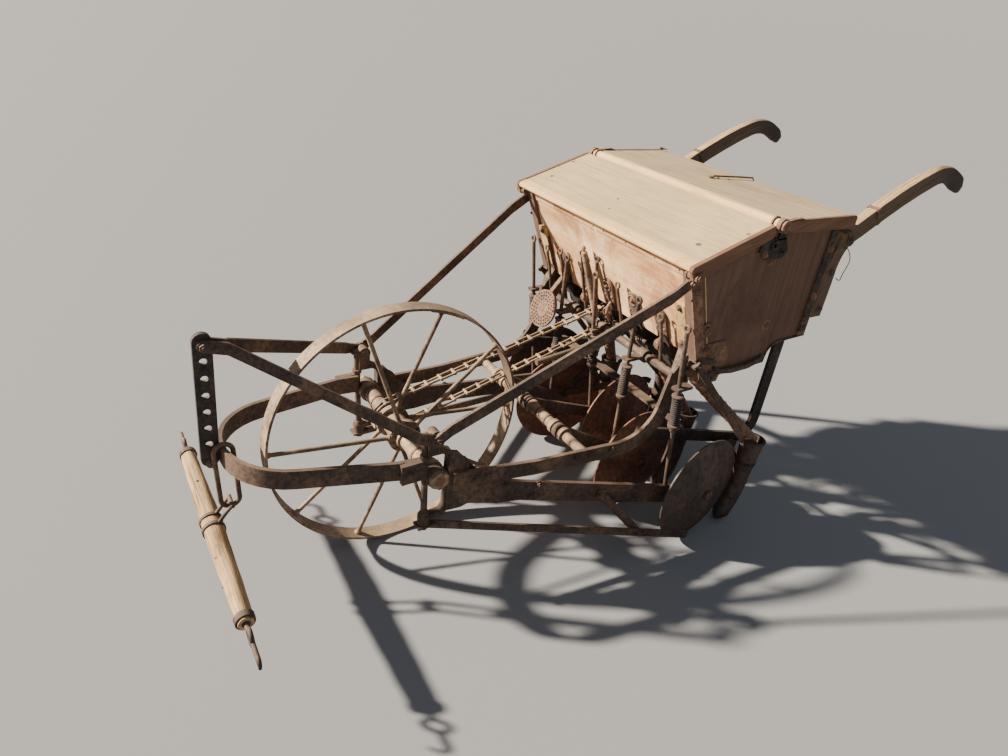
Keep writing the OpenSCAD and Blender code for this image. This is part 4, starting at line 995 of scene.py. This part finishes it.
FLOOR_SIDES = 96
FLOOR_RINGS = ((30, 0), (60, 0.8), (120, 4), (1500, 110))       # (radius, height) in metres
b = bmesh.new()
rings = [[b.verts.new((r * math.cos(a), r * math.sin(a), z)) for a in circle(FLOOR_SIDES)]
         for r, z in FLOOR_RINGS]
b.faces.new(rings[0])
for inner, outer in zip(rings, rings[1:]):
    for k in range(FLOOR_SIDES):
        after = (k + 1) % FLOOR_SIDES
        b.faces.new((inner[k], outer[k], outer[after], inner[after]))
mesh = bpy.data.meshes.new("floor")
b.to_mesh(mesh)
b.free()
mesh.polygons.foreach_set("use_smooth", [True] * len(mesh.polygons))
floor = bpy.data.objects.new("floor", mesh)
bpy.context.scene.collection.objects.link(floor)
floor_look, _, floor_shader = new_material("floor_paper")
floor_shader.inputs["Base Color"].default_value = (0.23, 0.23, 0.235, 1)
floor_shader.inputs["Roughness"].default_value = 0.92
floor.data.materials.append(floor_look)


# Light: a low sun from the drill's front right, a pale blue sky and two soft lamps

world = bpy.data.worlds.new("studio")
world.use_nodes = True
sky = world.node_tree.nodes["Background"]
sky.inputs["Color"].default_value = (0.74, 0.84, 1.0, 1)
sky.inputs["Strength"].default_value = 0.28
bpy.context.scene.world = world


def add_light(name, kind, energy, color, toward):
    """a lamp of the given kind that shines along toward"""
    data = bpy.data.lights.new(name, kind)
    data.energy = energy
    data.color = color
    lamp = bpy.data.objects.new(name, data)
    lamp.rotation_euler = toward.to_track_quat("-Z", "Y").to_euler()
    bpy.context.scene.collection.objects.link(lamp)
    return lamp


def area_light(name, at, to, size, power, color):
    lamp = add_light(name, "AREA", power, color, Vector(to) - Vector(at))
    lamp.location = at
    lamp.data.size = size


key = add_light("key", "SUN", 17, (1.0, 0.90, 0.76), Vector((0.50, 0.69, -0.47)))
key.data.angle = math.radians(2)
area_light("fill", (3.6, -2.8, 2.6), (0, 0.4, 0.4), 3.0, 12, (0.90, 0.95, 1.0))
area_light("back", (1.2, 4.6, 3.4), (0, 0.5, 0.5), 2.5, 14, (1.0, 0.97, 0.93))


# Camera, solved from points on the photo: angles in radians, the eye in metres, focal length in pixels

YAW, PITCH, ROLL = 2.55265, -0.52641, -0.09281
EYE = Vector((1.3155, -0.577, 1.3197))
FOCAL, IMAGE_WIDTH, SENSOR_WIDTH = 693, 1008, 36
forward = Vector((math.cos(PITCH) * math.cos(YAW), math.cos(PITCH) * math.sin(YAW), math.sin(PITCH)))
level = Vector((math.sin(YAW), -math.cos(YAW), 0))
low = forward.cross(level)
right = level * math.cos(ROLL) + low * math.sin(ROLL)
down = low * math.cos(ROLL) - level * math.sin(ROLL)
camera_data = bpy.data.cameras.new("camera")
camera_data.sensor_width = SENSOR_WIDTH
camera_data.lens = FOCAL / IMAGE_WIDTH * SENSOR_WIDTH
camera = bpy.data.objects.new("camera", camera_data)
camera.matrix_world = Matrix.Translation(EYE) @ Matrix((right, -down, -forward)).transposed().to_4x4()
bpy.context.scene.collection.objects.link(camera)
bpy.context.scene.camera = camera
